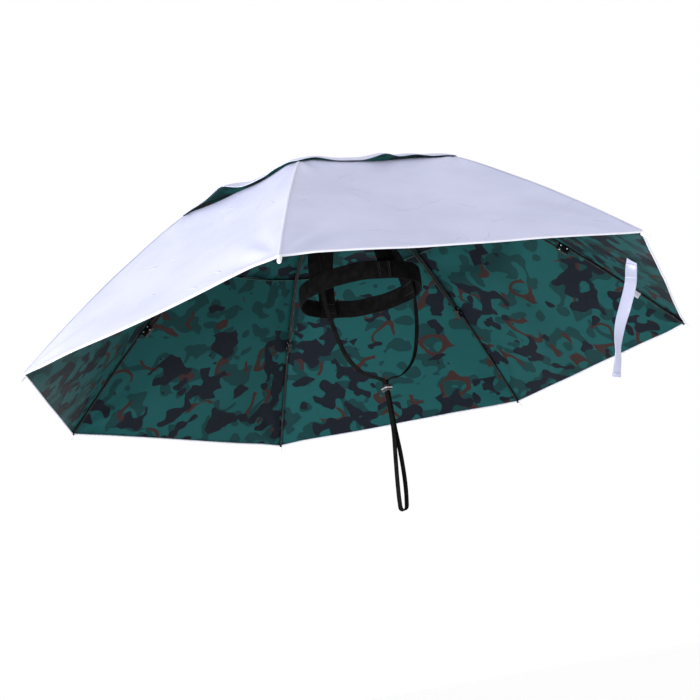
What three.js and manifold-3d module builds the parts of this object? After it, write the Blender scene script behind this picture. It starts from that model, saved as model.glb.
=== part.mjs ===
// Umbrella hat: a seven-rib folding canopy with a vented top, worn on an elastic head harness.
// Millimetres. +Z is the canopy's axis and -Y the wearer's front. The origin is the middle of the
// headband's lower edge, where the hat sits on a head.
// Places are worked out from the rim plane and the canopy's axis, and moved to the origin at the end.

import * as THREE from 'three';
import Module from 'manifold-3d';
import { mergeVertices } from 'three/addons/utils/BufferGeometryUtils.js';

// Canopy cloth
const rimRadius = 472;        // axis to the cloth's corner at a rib tip
const canopyHeight = 277;     // rim plane to the crown
const clothWall = 1.2;
const seamGap = 0.3;          // between panels that are sewn to each other
const panelSag = 9;           // how far a panel's middle is drawn in from the straight line between ribs
const ventHem = 0.485;        // radius of the panels' upper hem on a rib, as a share of rimRadius
const ventScallop = 10;       // how much lower the hem lies between two ribs
const capOverlap = 6;         // how far the top cap reaches past the hem on a rib
const capScallop = 12;        // how much further it reaches between two ribs
const capSeat = 0.9;          // from the panels' hem up to the cap, on a rib
const capLift = 11;           // how far the cap's free edge stands off between two ribs
const capHole = 10;           // radius of the hole that the finial goes through

// The rib's curve from the crown to the rim: out is a share of rimRadius, up of canopyHeight
const ribCurve = [
  { out: 0.00, up: 1.000 },
  { out: 0.20, up: 0.946 },
  { out: 0.35, up: 0.861 },
  { out: 0.485, up: 0.760 },
  { out: 0.69, up: 0.488 },
  { out: 0.85, up: 0.247 },
  { out: 1.00, up: 0.000 },
  { out: 1.05, up: -0.086 },
];

// Each rib's own set: turn is degrees from an even spacing, lift the tip's rise as a share of rimRadius
const ribTable = [
  { name: 'a', turn: 2.0, lift: -0.026 },
  { name: 'b', turn: -1.3, lift: 0.024 },
  { name: 'c', turn: -0.4, lift: -0.007 },
  { name: 'd', turn: -0.9, lift: -0.016 },
  { name: 'e', turn: 0.1, lift: -0.016 },
  { name: 'f', turn: 1.7, lift: 0.028 },
  { name: 'g', turn: -1.2, lift: 0.013 },
];

// Rib frame
const rodRadius = 1.6;
const rodClearance = 0.6;     // from the cloth down to a rod, under a seam
const fitGap = 0.3;           // between pieces that touch on the real hat
const jointOut = 0.69;        // where a rib folds, as a share of rimRadius
const linkDrop = 7;           // from the inner rib down to the link that runs along it
const clipLength = 18;
const clipWall = 1.3;
const clipReach = 7;          // how deep the rods go into a joint clip
const tipLength = 12;
const tipRadius = 3;
const tipReach = 6;           // how deep a rib goes into its tip cap
const normalStep = 0.004;     // share of rimRadius over which a rib's slope is read

// A tip cap's rounded end: radius is a share of tipRadius, along of tipLength
const tipTable = [
  { radius: 1.00, along: 0.70 },
  { radius: 0.75, along: 0.93 },
  { radius: 0.35, along: 1.00 },
];

// Hub
const hubRadius = 26;
const postRadius = 8;
const postFlare = 3;          // how much wider the post is on the crown plate
const flareHeight = 6;
const hubWall = 5;            // height of the notch and of the runner
const edgeChamfer = 1;        // on the lower edge of the notch, the runner and the crown plate
const finialRadius = 17;
const finialHeight = 5;
const stemClearance = 1.3;    // from the finial's stem to the hole in the cap

// The finial's cap: radius is a share of finialRadius, up of finialHeight
const finialTable = [
  { radius: 1.00, up: 0.20 },
  { radius: 0.70, up: 0.75 },
  { radius: 0.25, up: 1.00 },
];

// Head harness
const bandSide = 77;          // half of the headband's inner width
const bandFront = 97;         // half of its inner length
const bandWall = 2;
const bandHeight = 25;
const bandShiftX = 8;         // from the canopy's axis to the middle of the head
const bandShiftY = -24;
const bandRise = 86;          // rim plane to the headband's lower edge
const bandPitch = 3.5;        // degrees, front edge lower
const bandRoll = 1.4;         // degrees, left edge lower
const headStrapWidth = 30;
const headStrapWall = 1.6;
const strapGap = 0.8;         // from the headband's inner face to a strap sewn on it
const headStrapSeat = 14;     // height on the headband where the head straps end
const crownRise = 112;        // headband's lower edge to the top of the head straps
const crownPlateRadius = 34;
const crownPlateWall = 2.5;
const crownHole = 20;         // radius at which the head straps end under the crown plate

// Where each head strap leaves the headband and meets the crown plate, in degrees
const headStrapTable = [
  { name: 'head_strap_front', angle: -97, plateAngle: -95 },
  { name: 'head_strap_left', angle: -8, plateAngle: -12 },
  { name: 'head_strap_back', angle: 88, plateAngle: 84 },
  { name: 'head_strap_right', angle: -172, plateAngle: -175 },
];

// Chin strap
const chinWidth = 9;
const chinWall = 1.4;
const chinSeat = 9;           // how far up the headband it is sewn
const chinAngle = 15;         // degrees in front of the ears
const chinDrop = 136;         // headband's lower edge to the slider
const chinSlot = 1.1;         // from the slider's middle to the strap's middle
const chinEntry = 1.8;        // how far above the slider the strap is upright
const loopDrop = 163;         // slider to the bottom of the hanging loop
const loopHalf = 6;           // half of the loop's greatest width
const loopLean = 20;          // how far the loop's bottom swings towards the back
const loopDrift = 6;          // and to the left
const sliderWidth = 10;
const sliderDepth = 13;
const sliderHeight = 9;

// Where the chin strap turns from along the headband to fore and aft, as shares of its length
const chinTurn = { from: 0.1, to: 0.3 };

// One side of the chin strap: side is a share of the headband's half width, drop a share of chinDrop
const chinRoute = [
  { side: 0.86, drop: 0.39 },
  { side: 0.66, drop: 0.71 },
  { side: 0.35, drop: 0.87 },
  { side: 0.12, drop: 0.90 },
  { side: 0.03, drop: 0.925 },
];

// Half of the hanging loop: drop is a share of loopDrop, half a share of loopHalf
const loopRoute = [
  { drop: 0.10, half: 0.18 },
  { drop: 0.35, half: 0.25 },
  { drop: 0.55, half: 0.70 },
  { drop: 0.78, half: 1.00 },
  { drop: 0.93, half: 0.92 },
  { drop: 0.985, half: 0.70 },
];

// Tie strap, sewn inside the panel between ribs e and f
const tieWidth = 15;
const tieWall = 1.2;
const tieLength = 146;
const tieOut = 0.9325;        // where it starts to hang, as a share of rimRadius
const tieAcross = 0.58;       // and as a share of the way from rib e to rib f
const tieSewn = 6;            // length of the end that lies on the panel, towards rib f
const tiePeel = 3.2;          // how far it stands off the panel where it starts to hang

// Hanging part of the tie strap by reach along it, as shares of tieLength, with its twist in degrees
const tieRoute = [
  { reach: 0.00, drop: 0.000, back: 0.000, side: 0.000, twist: 0 },
  { reach: 0.17, drop: 0.160, back: 0.055, side: -0.010, twist: 8 },
  { reach: 0.35, drop: 0.320, back: 0.130, side: -0.045, twist: 20 },
  { reach: 0.53, drop: 0.480, back: 0.210, side: -0.085, twist: 56 },
  { reach: 0.69, drop: 0.625, back: 0.270, side: -0.100, twist: 85 },
  { reach: 0.82, drop: 0.750, back: 0.310, side: -0.102, twist: 89 },
  { reach: 1.00, drop: 0.910, back: 0.370, side: -0.118, twist: 79 },
];

// Tab beside rib e, square to the cloth
const tabOut = 0.882;         // its middle, as a share of rimRadius
const tabLength = 10;
const tabHeight = 9;

// How finely the faceted solids follow their curves
const panelSteps = { across: 8, along: 7 };
const goreSteps = { across: 8, along: 4 };
const rodSteps = { around: 6, outer: 7, inner: 8 };
const boreSteps = 8;
const tipSteps = 8;
const roundSteps = 20;
const bandSteps = 48;
const headStrapSteps = { across: 4, along: 10 };
const chinSteps = 34;
const loopSteps = 40;
const tieSteps = 18;

const ribCount = ribTable.length;
const up = new THREE.Vector3(0, 0, 1);

const wasm = await Module();
wasm.setup();

// Materials
const plain = (color, roughness, metalness = 0) => new THREE.MeshStandardMaterial({ color, roughness, metalness });
const silverCloth = () => plain(0xd6d9e8, 0.45, 0.2);
const blackSteel = () => plain(0x17181a, 0.4, 0.6);
const blackPlastic = () => plain(0x1b1b1d, 0.5);
const whitePlastic = () => plain(0xe9ebee, 0.4);
const blackElastic = () => plain(0x151517, 0.9);

const hat = new THREE.Group();

function addMesh(name, geometry, material) {
  const mesh = new THREE.Mesh(geometry, material);
  mesh.name = name;
  hat.add(mesh);
  return mesh;
}

// Signed volume, to see whether a closed shell faces outwards
function signedVolume(geometry) {
  const position = geometry.attributes.position;
  const index = geometry.index;
  const [a, b, c] = [new THREE.Vector3(), new THREE.Vector3(), new THREE.Vector3()];
  let sum = 0;
  for (let i = 0; i < index.count; i += 3) {
    a.fromBufferAttribute(position, index.getX(i));
    b.fromBufferAttribute(position, index.getX(i + 1));
    c.fromBufferAttribute(position, index.getX(i + 2));
    sum += a.dot(b.cross(c)) / 6;
  }
  return sum;
}

// Welds a geometry's points and turns it to face outwards
function weld(source) {
  const geometry = source.clone();
  geometry.deleteAttribute('normal');
  geometry.deleteAttribute('uv');
  const welded = mergeVertices(geometry, 1e-4);
  if (signedVolume(welded) < 0) {
    const index = welded.index;
    for (let i = 0; i < index.count; i += 3) {
      const first = index.getX(i);
      index.setX(i, index.getX(i + 1));
      index.setX(i + 1, first);
    }
  }
  welded.computeVertexNormals();
  return welded;
}

function toManifold(geometry) {
  const welded = weld(geometry);
  return new wasm.Manifold(new wasm.Mesh({
    numProp: 3,
    vertProperties: new Float32Array(welded.attributes.position.array),
    triVerts: new Uint32Array(welded.index.array),
  }));
}

function fromManifold(manifold) {
  const mesh = manifold.getMesh();
  const geometry = new THREE.BufferGeometry();
  geometry.setAttribute('position', new THREE.BufferAttribute(mesh.vertProperties, 3));
  geometry.setIndex(new THREE.BufferAttribute(mesh.triVerts, 1));
  geometry.computeVertexNormals();
  return geometry;
}

// A solid through cross-sections with equally many corners, closed by its two end faces or into a ring
function loft(sections, ring = false) {
  const corners = sections[0].length;
  const positions = sections.flat().flatMap((corner) => corner.toArray());
  const index = [];
  const last = ring ? sections.length : sections.length - 1;
  for (let i = 0; i < last; i += 1) {
    const here = i * corners;
    const next = ((i + 1) % sections.length) * corners;
    for (let j = 0; j < corners; j += 1) {
      const k = (j + 1) % corners;
      index.push(here + j, here + k, next + k, here + j, next + k, next + j);
    }
  }
  if (!ring) {
    const end = (sections.length - 1) * corners;
    for (let j = 1; j < corners - 1; j += 1) {
      index.push(0, j + 1, j);
      index.push(end, end + j, end + j + 1);
    }
  }
  const geometry = new THREE.BufferGeometry();
  geometry.setAttribute('position', new THREE.Float32BufferAttribute(positions, 3));
  geometry.setIndex(index);
  return weld(geometry);
}

// A curved wall: surface(u, v) gives its outer point and the way to its inner face, for u and v from 0 to 1
function curvedWall(surface, wall, steps) {
  const sections = [];
  for (let i = 0; i <= steps.along; i += 1) {
    const outer = [];
    const inner = [];
    for (let j = 0; j <= steps.across; j += 1) {
      const { point, inward } = surface(i / steps.along, j / steps.across);
      outer.push(point);
      inner.unshift(point.clone().addScaledVector(inward, wall));
    }
    sections.push([...outer, ...inner]);
  }
  return loftWall(sections, steps.across + 1);
}

// A loft whose end faces are strips between an outer and an inner row of corners
function loftWall(sections, rowLength) {
  const corners = sections[0].length;
  const positions = sections.flat().flatMap((corner) => corner.toArray());
  const index = [];
  for (let i = 0; i < sections.length - 1; i += 1) {
    for (let j = 0; j < corners; j += 1) {
      const k = (j + 1) % corners;
      const here = i * corners;
      const next = here + corners;
      index.push(here + j, here + k, next + k, here + j, next + k, next + j);
    }
  }
  const end = (sections.length - 1) * corners;
  for (let j = 0; j < rowLength - 1; j += 1) {
    const [a, b, c, d] = [j, j + 1, corners - 2 - j, corners - 1 - j];
    index.push(a, c, b, a, d, c);
    index.push(end + a, end + b, end + c, end + a, end + c, end + d);
  }
  const geometry = new THREE.BufferGeometry();
  geometry.setAttribute('position', new THREE.Float32BufferAttribute(positions, 3));
  geometry.setIndex(index);
  return weld(geometry);
}

// Reads a table as a smooth curve, value by key
function smoothRow(rows, key, value, at) {
  let i = 0;
  while (i < rows.length - 2 && at > rows[i + 1][key]) i += 1;
  const slope = (k) => {
    const low = rows[Math.max(k - 1, 0)];
    const high = rows[Math.min(k + 1, rows.length - 1)];
    return (high[value] - low[value]) / (high[key] - low[key]);
  };
  const width = rows[i + 1][key] - rows[i][key];
  const t = (at - rows[i][key]) / width;
  const start = i === 0 ? 0 : slope(i);
  const blend = (1 + 2 * t) * (1 - t) ** 2 * rows[i][value] + t * t * (3 - 2 * t) * rows[i + 1][value];
  return blend + t * (1 - t) ** 2 * width * start - t * t * (1 - t) * width * slope(i + 1);
}

// Canopy surface
function ribAngle(i) {
  const rib = ribTable[i % ribCount];
  return Math.PI - (2 * Math.PI * (i % ribCount)) / ribCount + THREE.MathUtils.degToRad(rib.turn);
}

function ribOutward(i) {
  return new THREE.Vector3(Math.cos(ribAngle(i)), Math.sin(ribAngle(i)), 0);
}

function ribHeight(i, out) {
  const lift = ribTable[i % ribCount].lift * rimRadius;
  return canopyHeight * smoothRow(ribCurve, 'out', 'up', out) + lift * out * out;
}

// The inward normal of the rib's curve, in the rib's own upright plane
function ribInward(i, out) {
  const low = Math.max(out - normalStep, 0);
  const high = out + normalStep;
  const rise = ribHeight(i, high) - ribHeight(i, low);
  const run = rimRadius * (high - low);
  return ribOutward(i).multiplyScalar(rise).addScaledVector(up, -run).normalize();
}

function ribPoint(i, out, below = 0) {
  const point = ribOutward(i).multiplyScalar(rimRadius * out).addScaledVector(up, ribHeight(i, out));
  return point.addScaledVector(ribInward(i, out), below);
}

// A point between rib i and the next, and the way in through the cloth there
function canopyPoint(i, out, across) {
  const point = ribPoint(i, out).lerp(ribPoint(i + 1, out), across);
  const inward = ribInward(i, out).lerp(ribInward(i + 1, out), across).normalize();
  return { point, inward };
}

const hump = (x) => 4 * x * (1 - x);
const chordAt = (out) => 2 * rimRadius * out * Math.sin(Math.PI / ribCount);

// Moves across in from a seam, so that neighbouring panels stay seamGap apart
function insetAcross(across, out) {
  const margin = (seamGap / 2) / chordAt(out);
  return margin + across * (1 - 2 * margin);
}

function canopyPanel(i) {
  const surface = (v, u) => {
    const hem = ventHem + (ventScallop / rimRadius) * hump(u);
    const out = THREE.MathUtils.lerp(hem, 1, v);
    const { point, inward } = canopyPoint(i, out, insetAcross(u, out));
    point.addScaledVector(inward, panelSag * hump(u) * Math.sin(Math.PI * v));
    return { point, inward };
  };
  return curvedWall(surface, clothWall, panelSteps);
}

function capGore(i) {
  const inner = capHole / rimRadius;
  const surface = (v, u) => {
    const edge = ventHem + (capOverlap + capScallop * hump(u)) / rimRadius;
    const out = THREE.MathUtils.lerp(inner, edge, v);
    const { point, inward } = canopyPoint(i, out, insetAcross(u, out));
    const raised = clothWall + capSeat + capLift * hump(u) * v ** 3;
    point.addScaledVector(inward, -raised);
    return { point, inward };
  };
  return curvedWall(surface, clothWall, goreSteps);
}

// Rib frame
const rodDepth = clothWall + rodClearance + rodRadius;

function rod(points, radius, steps) {
  const section = new THREE.Shape();
  section.absarc(0, 0, radius, 0, 2 * Math.PI);
  const path = new THREE.CatmullRomCurve3(points);
  const settings = { extrudePath: path, steps, bevelEnabled: false, curveSegments: rodSteps.around };
  return weld(new THREE.ExtrudeGeometry(section, settings));
}

function ribLine(i, from, to, below, count) {
  return Array.from({ length: count }, (_, k) => ribPoint(i, from + ((to - from) * k) / (count - 1), below));
}

// A frame with X along the rib outwards, Z along its outer normal, at a depth below the cloth
function ribFrame(i, out, below) {
  const z = ribInward(i, out).negate();
  const y = new THREE.Vector3().crossVectors(z, ribOutward(i)).normalize();
  const x = new THREE.Vector3().crossVectors(y, z);
  return new THREE.Matrix4().makeBasis(x, y, z).setPosition(ribPoint(i, out, below));
}

// The share of rimRadius that lies a length further along the rib
function outAfter(i, out, length) {
  return out - (length * ribInward(i, out).z) / rimRadius;
}

function outerRib(i) {
  const end = outAfter(i, 1, tipReach);
  const bar = rod(ribLine(i, jointOut, end, rodDepth, rodSteps.outer + 1), rodRadius, rodSteps.outer);
  const height = linkDrop + rodRadius + clipWall;
  const width = 2 * (rodRadius + clipWall);
  const clip = new THREE.BoxGeometry(clipLength, width, height);
  clip.applyMatrix4(ribFrame(i, jointOut, rodDepth + fitGap + height / 2));
  const boreLength = clipReach + fitGap + clipLength / 2;
  const boreRadius = (rodRadius + fitGap) / Math.cos(Math.PI / boreSteps);
  const bore = (below) => {
    const hole = new THREE.CylinderGeometry(boreRadius, boreRadius, boreLength, boreSteps);
    hole.rotateZ(Math.PI / 2).translate(clipReach + fitGap - (clipLength + boreLength) / 2, 0, 0);
    return toManifold(hole.applyMatrix4(ribFrame(i, jointOut, rodDepth + below)));
  };
  const joined = toManifold(bar).add(toManifold(clip));
  return fromManifold(joined.subtract(bore(0)).subtract(bore(linkDrop)));
}

function innerBar(i, drop) {
  const hubOut = hubRadius / rimRadius;
  const leanIn = ribInward(i, hubOut).dot(ribOutward(i)) * (rodDepth + drop);
  const from = hubOut + (2 * fitGap - leanIn) / rimRadius;
  const to = outAfter(i, jointOut, clipReach - clipLength / 2);
  return rod(ribLine(i, from, to, rodDepth + drop, rodSteps.inner + 1), rodRadius, rodSteps.inner);
}

function lathe(profile, steps = roundSteps) {
  const geometry = new THREE.LatheGeometry(profile.map(([r, z]) => new THREE.Vector2(r, z)), steps);
  return weld(geometry.rotateX(Math.PI / 2));
}

function tipCap(i) {
  const start = outAfter(i, 1, 2 * fitGap);
  const bore = (rodRadius + fitGap) / Math.cos(Math.PI / tipSteps);
  const profile = [
    [0, tipReach + fitGap],
    [bore, tipReach + fitGap],
    [bore, 0],
    [tipRadius, 0],
    ...tipTable.map((row) => [tipRadius * row.radius, tipLength * row.along]),
    [0, tipLength],
  ];
  const turned = lathe(profile, tipSteps).rotateY(Math.PI / 2);
  return turned.applyMatrix4(ribFrame(i, start, rodDepth));
}

// Hub: the notch and the runner take the ribs' inner ends, and the post carries them on the crown plate
const hubDepth = (below) => ribPoint(0, hubRadius / rimRadius, rodDepth + below).z;
const notchMiddle = hubDepth(0);
const runnerMiddle = hubDepth(linkDrop) - fitGap;
const notchTop = notchMiddle + hubWall / 2;
const crownPlateBase = bandRise + crownRise + fitGap;
const postTop = notchTop + fitGap;
const finialSeat = canopyHeight + clothWall + capSeat + fitGap;

function collar(middle) {
  const bore = postRadius + fitGap;
  const half = hubWall / 2;
  return lathe([
    [bore, middle - half],
    [hubRadius - edgeChamfer, middle - half],
    [hubRadius, middle - half + edgeChamfer],
    [hubRadius, middle + half],
    [bore, middle + half],
    [bore, middle - half],
  ]);
}

const post = lathe([
  [0, crownPlateBase],
  [crownPlateRadius - edgeChamfer, crownPlateBase],
  [crownPlateRadius, crownPlateBase + edgeChamfer],
  [crownPlateRadius, crownPlateBase + crownPlateWall],
  [postRadius + postFlare, crownPlateBase + crownPlateWall],
  [postRadius, crownPlateBase + crownPlateWall + flareHeight],
  [postRadius, postTop],
  [0, postTop],
]);

const finial = lathe([
  [0, postTop + fitGap],
  [capHole - stemClearance, postTop + fitGap],
  [capHole - stemClearance, finialSeat],
  [finialRadius, finialSeat],
  ...finialTable.map((row) => [finialRadius * row.radius, finialSeat + finialHeight * row.up]),
  [0, finialSeat + finialHeight],
]);

// Head harness
const bandMiddle = new THREE.Vector3(bandShiftX, bandShiftY, bandRise);
const bandTurn = new THREE.Euler(
  THREE.MathUtils.degToRad(bandPitch),
  THREE.MathUtils.degToRad(bandRoll),
  0,
);

// A point of the headband, at an angle about the head, a distance out of its inner face and a height
function bandPoint(angle, out, height) {
  const a = THREE.MathUtils.degToRad(angle);
  const flat = new THREE.Vector3((bandSide + out) * Math.cos(a), (bandFront + out) * Math.sin(a), height);
  return flat.applyEuler(bandTurn).add(bandMiddle);
}

function headband() {
  const sections = Array.from({ length: bandSteps }, (_, k) => {
    const angle = (360 * k) / bandSteps;
    return [
      bandPoint(angle, 0, 0),
      bandPoint(angle, bandWall, 0),
      bandPoint(angle, bandWall, bandHeight),
      bandPoint(angle, 0, bandHeight),
    ];
  });
  return loft(sections, true);
}

// A head strap rises inside the headband, over the head and in under the crown plate
function headStrap({ angle, plateAngle }) {
  const spread = THREE.MathUtils.radToDeg(headStrapWidth / (bandSide + bandFront));
  const point = (v, u) => {
    const foot = bandPoint(angle + spread * (2 * u - 1), -strapGap, headStrapSeat);
    const inwards = new THREE.Vector3(1, 0, 0).applyAxisAngle(up, THREE.MathUtils.degToRad(plateAngle));
    const across = new THREE.Vector3().crossVectors(up, inwards).multiplyScalar(headStrapWidth * (u - 0.5));
    const head = inwards.multiplyScalar(crownHole).add(across).setZ(bandRise + crownRise);
    const turn = (v * Math.PI) / 2;
    const flat = head.clone().lerp(foot, Math.cos(turn));
    return flat.setZ(THREE.MathUtils.lerp(foot.z, head.z, Math.sin(turn)));
  };
  const surface = (v, u) => {
    const step = 0.01;
    const along = point(Math.min(v + step, 1), u).sub(point(Math.max(v - step, 0), u));
    const across = point(v, Math.min(u + step, 1)).sub(point(v, Math.max(u - step, 0)));
    const inward = new THREE.Vector3().crossVectors(along, across).normalize();
    return { point: point(v, u), inward };
  };
  const middle = surface(0.5, 0.5);
  const outwards = middle.inward.dot(new THREE.Vector3().subVectors(bandMiddle, middle.point)) < 0;
  const facing = (v, u) => {
    const { point: at, inward } = surface(v, u);
    return { point: at, inward: outwards ? inward.negate() : inward };
  };
  return curvedWall(facing, headStrapWall, headStrapSteps);
}

// A flat strap along a route, as wide as width along the way that acrossAt gives
function strap(points, width, wall, steps, acrossAt) {
  const path = new THREE.CatmullRomCurve3(points, false, 'centripetal');
  const sections = Array.from({ length: steps + 1 }, (_, k) => {
    const t = k / steps;
    const at = path.getPointAt(t);
    const along = path.getTangentAt(t);
    const across = acrossAt(t).addScaledVector(along, -acrossAt(t).dot(along)).normalize();
    const out = new THREE.Vector3().crossVectors(along, across).normalize();
    const corner = (w, n) => at.clone().addScaledVector(across, w * width / 2).addScaledVector(out, n * wall / 2);
    return [corner(-1, -1), corner(1, -1), corner(1, 1), corner(-1, 1)];
  });
  return loft(sections);
}

// Chin strap: two sides that meet in the slider, and the loop that hangs from it
const foreAft = () => new THREE.Vector3(0, 1, 0);
const chinY = bandPoint(-chinAngle, 0, 0).y;
const sliderMiddle = new THREE.Vector3(bandShiftX, chinY, bandRise - chinDrop);

function chinSide(sign) {
  const angle = sign > 0 ? -chinAngle : chinAngle - 180;
  const inside = -strapGap - chinWall / 2;
  const points = [bandPoint(angle, inside, chinSeat), bandPoint(angle, inside, -chinSeat)];
  for (const row of chinRoute) {
    points.push(new THREE.Vector3(bandShiftX + sign * row.side * bandSide, chinY, bandRise - row.drop * chinDrop));
  }
  const entry = sliderMiddle.clone().setX(bandShiftX + sign * chinSlot);
  const entryHeights = [sliderHeight / 2 + chinEntry, sliderHeight / 2, fitGap / 2];
  points.push(...entryHeights.map((height) => entry.clone().setZ(sliderMiddle.z + height)));
  const alongBand = bandPoint(angle - sign, 0, 0).sub(bandPoint(angle + sign, 0, 0)).negate();
  const acrossAt = (t) => {
    const turned = (t - chinTurn.from) / (chinTurn.to - chinTurn.from);
    return alongBand.clone().normalize().lerp(foreAft(), THREE.MathUtils.clamp(turned, 0, 1));
  };
  return strap(points, chinWidth, chinWall, chinSteps, acrossAt);
}

function chinLoop() {
  const at = (sign, row) => {
    const swing = new THREE.Vector3(loopDrift * row.drop, loopLean * row.drop ** 2, -row.drop * loopDrop);
    return sliderMiddle.clone().add(swing).setX(bandShiftX + swing.x + sign * row.half * loopHalf);
  };
  const top = { drop: fitGap / 2 / loopDrop, half: chinSlot / loopHalf };
  const rows = [top, ...loopRoute];
  const points = [
    ...rows.map((row) => at(-1, row)),
    at(0, { drop: 1, half: 0 }),
    ...rows.reverse().map((row) => at(1, row)),
  ];
  return strap(points, chinWidth, chinWall, loopSteps, foreAft);
}

function slider() {
  const slotWidth = 2 * chinSlot + chinWall + 2 * fitGap;
  const block = new THREE.BoxGeometry(sliderWidth, sliderDepth, sliderHeight);
  const slot = new THREE.BoxGeometry(slotWidth, chinWidth + 2 * fitGap, 2 * sliderHeight);
  return fromManifold(toManifold(block).subtract(toManifold(slot)));
}

// Tie strap and its fastening tab, sewn inside a panel
const tiePanel = ribTable.findIndex((rib) => rib.name === 'e');

// Depth of the canopy panel's inner face below the straight line between its ribs
function panelDepth(out, across) {
  return clothWall + panelSag * hump(across) * Math.sin((Math.PI * (out - ventHem)) / (1 - ventHem));
}

// The way outwards along the middle of the tie strap's panel
function tieOutwards() {
  const middle = (out) => canopyPoint(tiePanel, out, 0.5).point;
  return middle(tieOut + normalStep).sub(middle(tieOut - normalStep)).normalize();
}

function tieStrap() {
  const clear = 3 * fitGap + tieWall / 2;
  const inside = (across, gap) => {
    const { point, inward } = canopyPoint(tiePanel, tieOut, across);
    return point.addScaledVector(inward, panelDepth(tieOut, across) + gap);
  };
  const start = inside(tieAcross + tieSewn / chordAt(tieOut), clear);
  const hook = inside(tieAcross, clear + tiePeel);
  const hung = tieRoute.map(({ side, back, drop }) => (
    new THREE.Vector3(side, back, -drop).multiplyScalar(tieLength).add(hook)
  ));
  const twistAt = (t) => {
    const reach = (t * (tieSewn + tieLength) - tieSewn) / tieLength;
    return THREE.MathUtils.degToRad(smoothRow(tieRoute, 'reach', 'twist', Math.max(reach, 0)));
  };
  const acrossAt = (t) => tieOutwards().applyAxisAngle(up, twistAt(t));
  return strap([start, ...hung], tieWidth, tieWall, tieSteps, acrossAt);
}

function tieTab() {
  const tab = new THREE.BoxGeometry(tabLength, tieWall, tabHeight);
  const beside = rodRadius + fitGap + tieWall / 2;
  tab.translate(0, -beside, 0).applyMatrix4(ribFrame(tiePanel, tabOut, rodDepth + tabHeight / 2));
  return weld(tab);
}

// Assembly
ribTable.forEach((rib, i) => {
  const next = ribTable[(i + 1) % ribCount].name;
  addMesh(`canopy_panel_${rib.name}${next}`, canopyPanel(i), silverCloth());
  addMesh(`top_cap_gore_${rib.name}${next}`, capGore(i), silverCloth());
  addMesh(`outer_rib_${rib.name}`, outerRib(i), blackSteel());
  addMesh(`inner_rib_${rib.name}`, innerBar(i, 0), blackSteel());
  addMesh(`rib_link_${rib.name}`, innerBar(i, linkDrop), blackSteel());
  addMesh(`tip_cap_${rib.name}`, tipCap(i), whitePlastic());
});
addMesh('hub_notch', collar(notchMiddle), blackPlastic());
addMesh('hub_runner', collar(runnerMiddle), blackPlastic());
addMesh('centre_post', post, blackPlastic());
addMesh('finial', finial, blackPlastic());
addMesh('headband', headband(), blackElastic());
headStrapTable.forEach((row) => addMesh(row.name, headStrap(row), blackElastic()));
addMesh('chin_strap_right', chinSide(-1), blackElastic());
addMesh('chin_strap_left', chinSide(1), blackElastic());
addMesh('chin_strap_loop', chinLoop(), blackElastic());
addMesh('chin_slider', slider(), blackPlastic()).position.copy(sliderMiddle);
addMesh('tie_strap', tieStrap(), silverCloth());
addMesh('tie_tab', tieTab(), silverCloth());

hat.position.copy(bandMiddle).negate();

export default new THREE.Group().add(hat);
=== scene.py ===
import bpy
import math
from mathutils import Euler, Matrix, Vector, noise


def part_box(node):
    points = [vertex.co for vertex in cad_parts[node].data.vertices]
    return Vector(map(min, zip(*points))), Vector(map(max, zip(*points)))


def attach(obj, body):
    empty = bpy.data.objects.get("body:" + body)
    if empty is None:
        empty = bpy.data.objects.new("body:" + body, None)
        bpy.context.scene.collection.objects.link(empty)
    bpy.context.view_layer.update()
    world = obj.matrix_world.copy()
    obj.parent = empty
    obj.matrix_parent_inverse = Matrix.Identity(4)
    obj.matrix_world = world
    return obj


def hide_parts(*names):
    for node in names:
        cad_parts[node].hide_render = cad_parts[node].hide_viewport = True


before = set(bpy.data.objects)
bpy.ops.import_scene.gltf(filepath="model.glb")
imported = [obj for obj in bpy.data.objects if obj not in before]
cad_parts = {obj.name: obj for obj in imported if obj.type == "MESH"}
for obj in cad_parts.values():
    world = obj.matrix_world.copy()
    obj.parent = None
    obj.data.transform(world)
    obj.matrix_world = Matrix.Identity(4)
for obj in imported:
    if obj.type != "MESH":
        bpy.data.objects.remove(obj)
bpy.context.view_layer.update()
print("frame loaded")

mm = 0.001
scene = bpy.context.scene

# The camera stands where the photograph was taken from, in the hat's own frame
view = {
    "place": (-0.915, -1.4036, -0.5271),
    "turn": (105.492, 9.394, -29.601),   # degrees
    "lens": 65.14,
    "sensor": 36.0,
    "reach": 2000,   # how far it sees, past the floor's edge
}

lights = {
    "world": (1.0, 1.0, 1.0), "worldPower": 1.0, "aim": (0, 0, 0.05),
    "keyPlace": (-3.0, 0.4, 0.5), "keySize": 1.2, "keyPower": 36.0,
    "fillPlace": (-2.5, -0.5, -0.9), "fillSize": 0.5, "fillPower": 52.0,
    "floorDrop": 1.25, "floorSize": 900.0, "floorShade": 0.98, "floorRoughness": 0.8,
}

canopy = {
    "rimRadius": 0.472, "height": 0.277, "rimDrop": 0.086,
    "axisX": -0.008, "axisY": 0.024,
    "sag": 0.009, "ventHem": 0.485, "ventScallop": 0.010,
    "cadWall": 0.0012, "wall": 0.0005, "rodClearance": 0.0006,
    "slopeStep": 0.004,   # share of the rim's radius over which the rib's slope is measured
    # the rib's curve: share of the rim's radius, share of the height
    "curve": ((0.00, 1.000), (0.20, 0.946), (0.35, 0.861), (0.485, 0.760), (0.69, 0.488),
              (0.85, 0.247), (1.00, 0.000), (1.05, -0.086)),
    # each rib: degrees off an even spacing, lift of its tip as a share of the rim's radius
    "ribs": {"a": (2.0, -0.026), "b": (-1.3, 0.024), "c": (-0.4, -0.007), "d": (-0.9, -0.016),
             "e": (0.1, -0.016), "f": (1.7, 0.028), "g": (-1.2, 0.013)},
}
ribNames = list(canopy["ribs"])
ribCount = len(ribNames)
axisPoint = Vector((canopy["axisX"], canopy["axisY"], -canopy["rimDrop"]))


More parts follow.
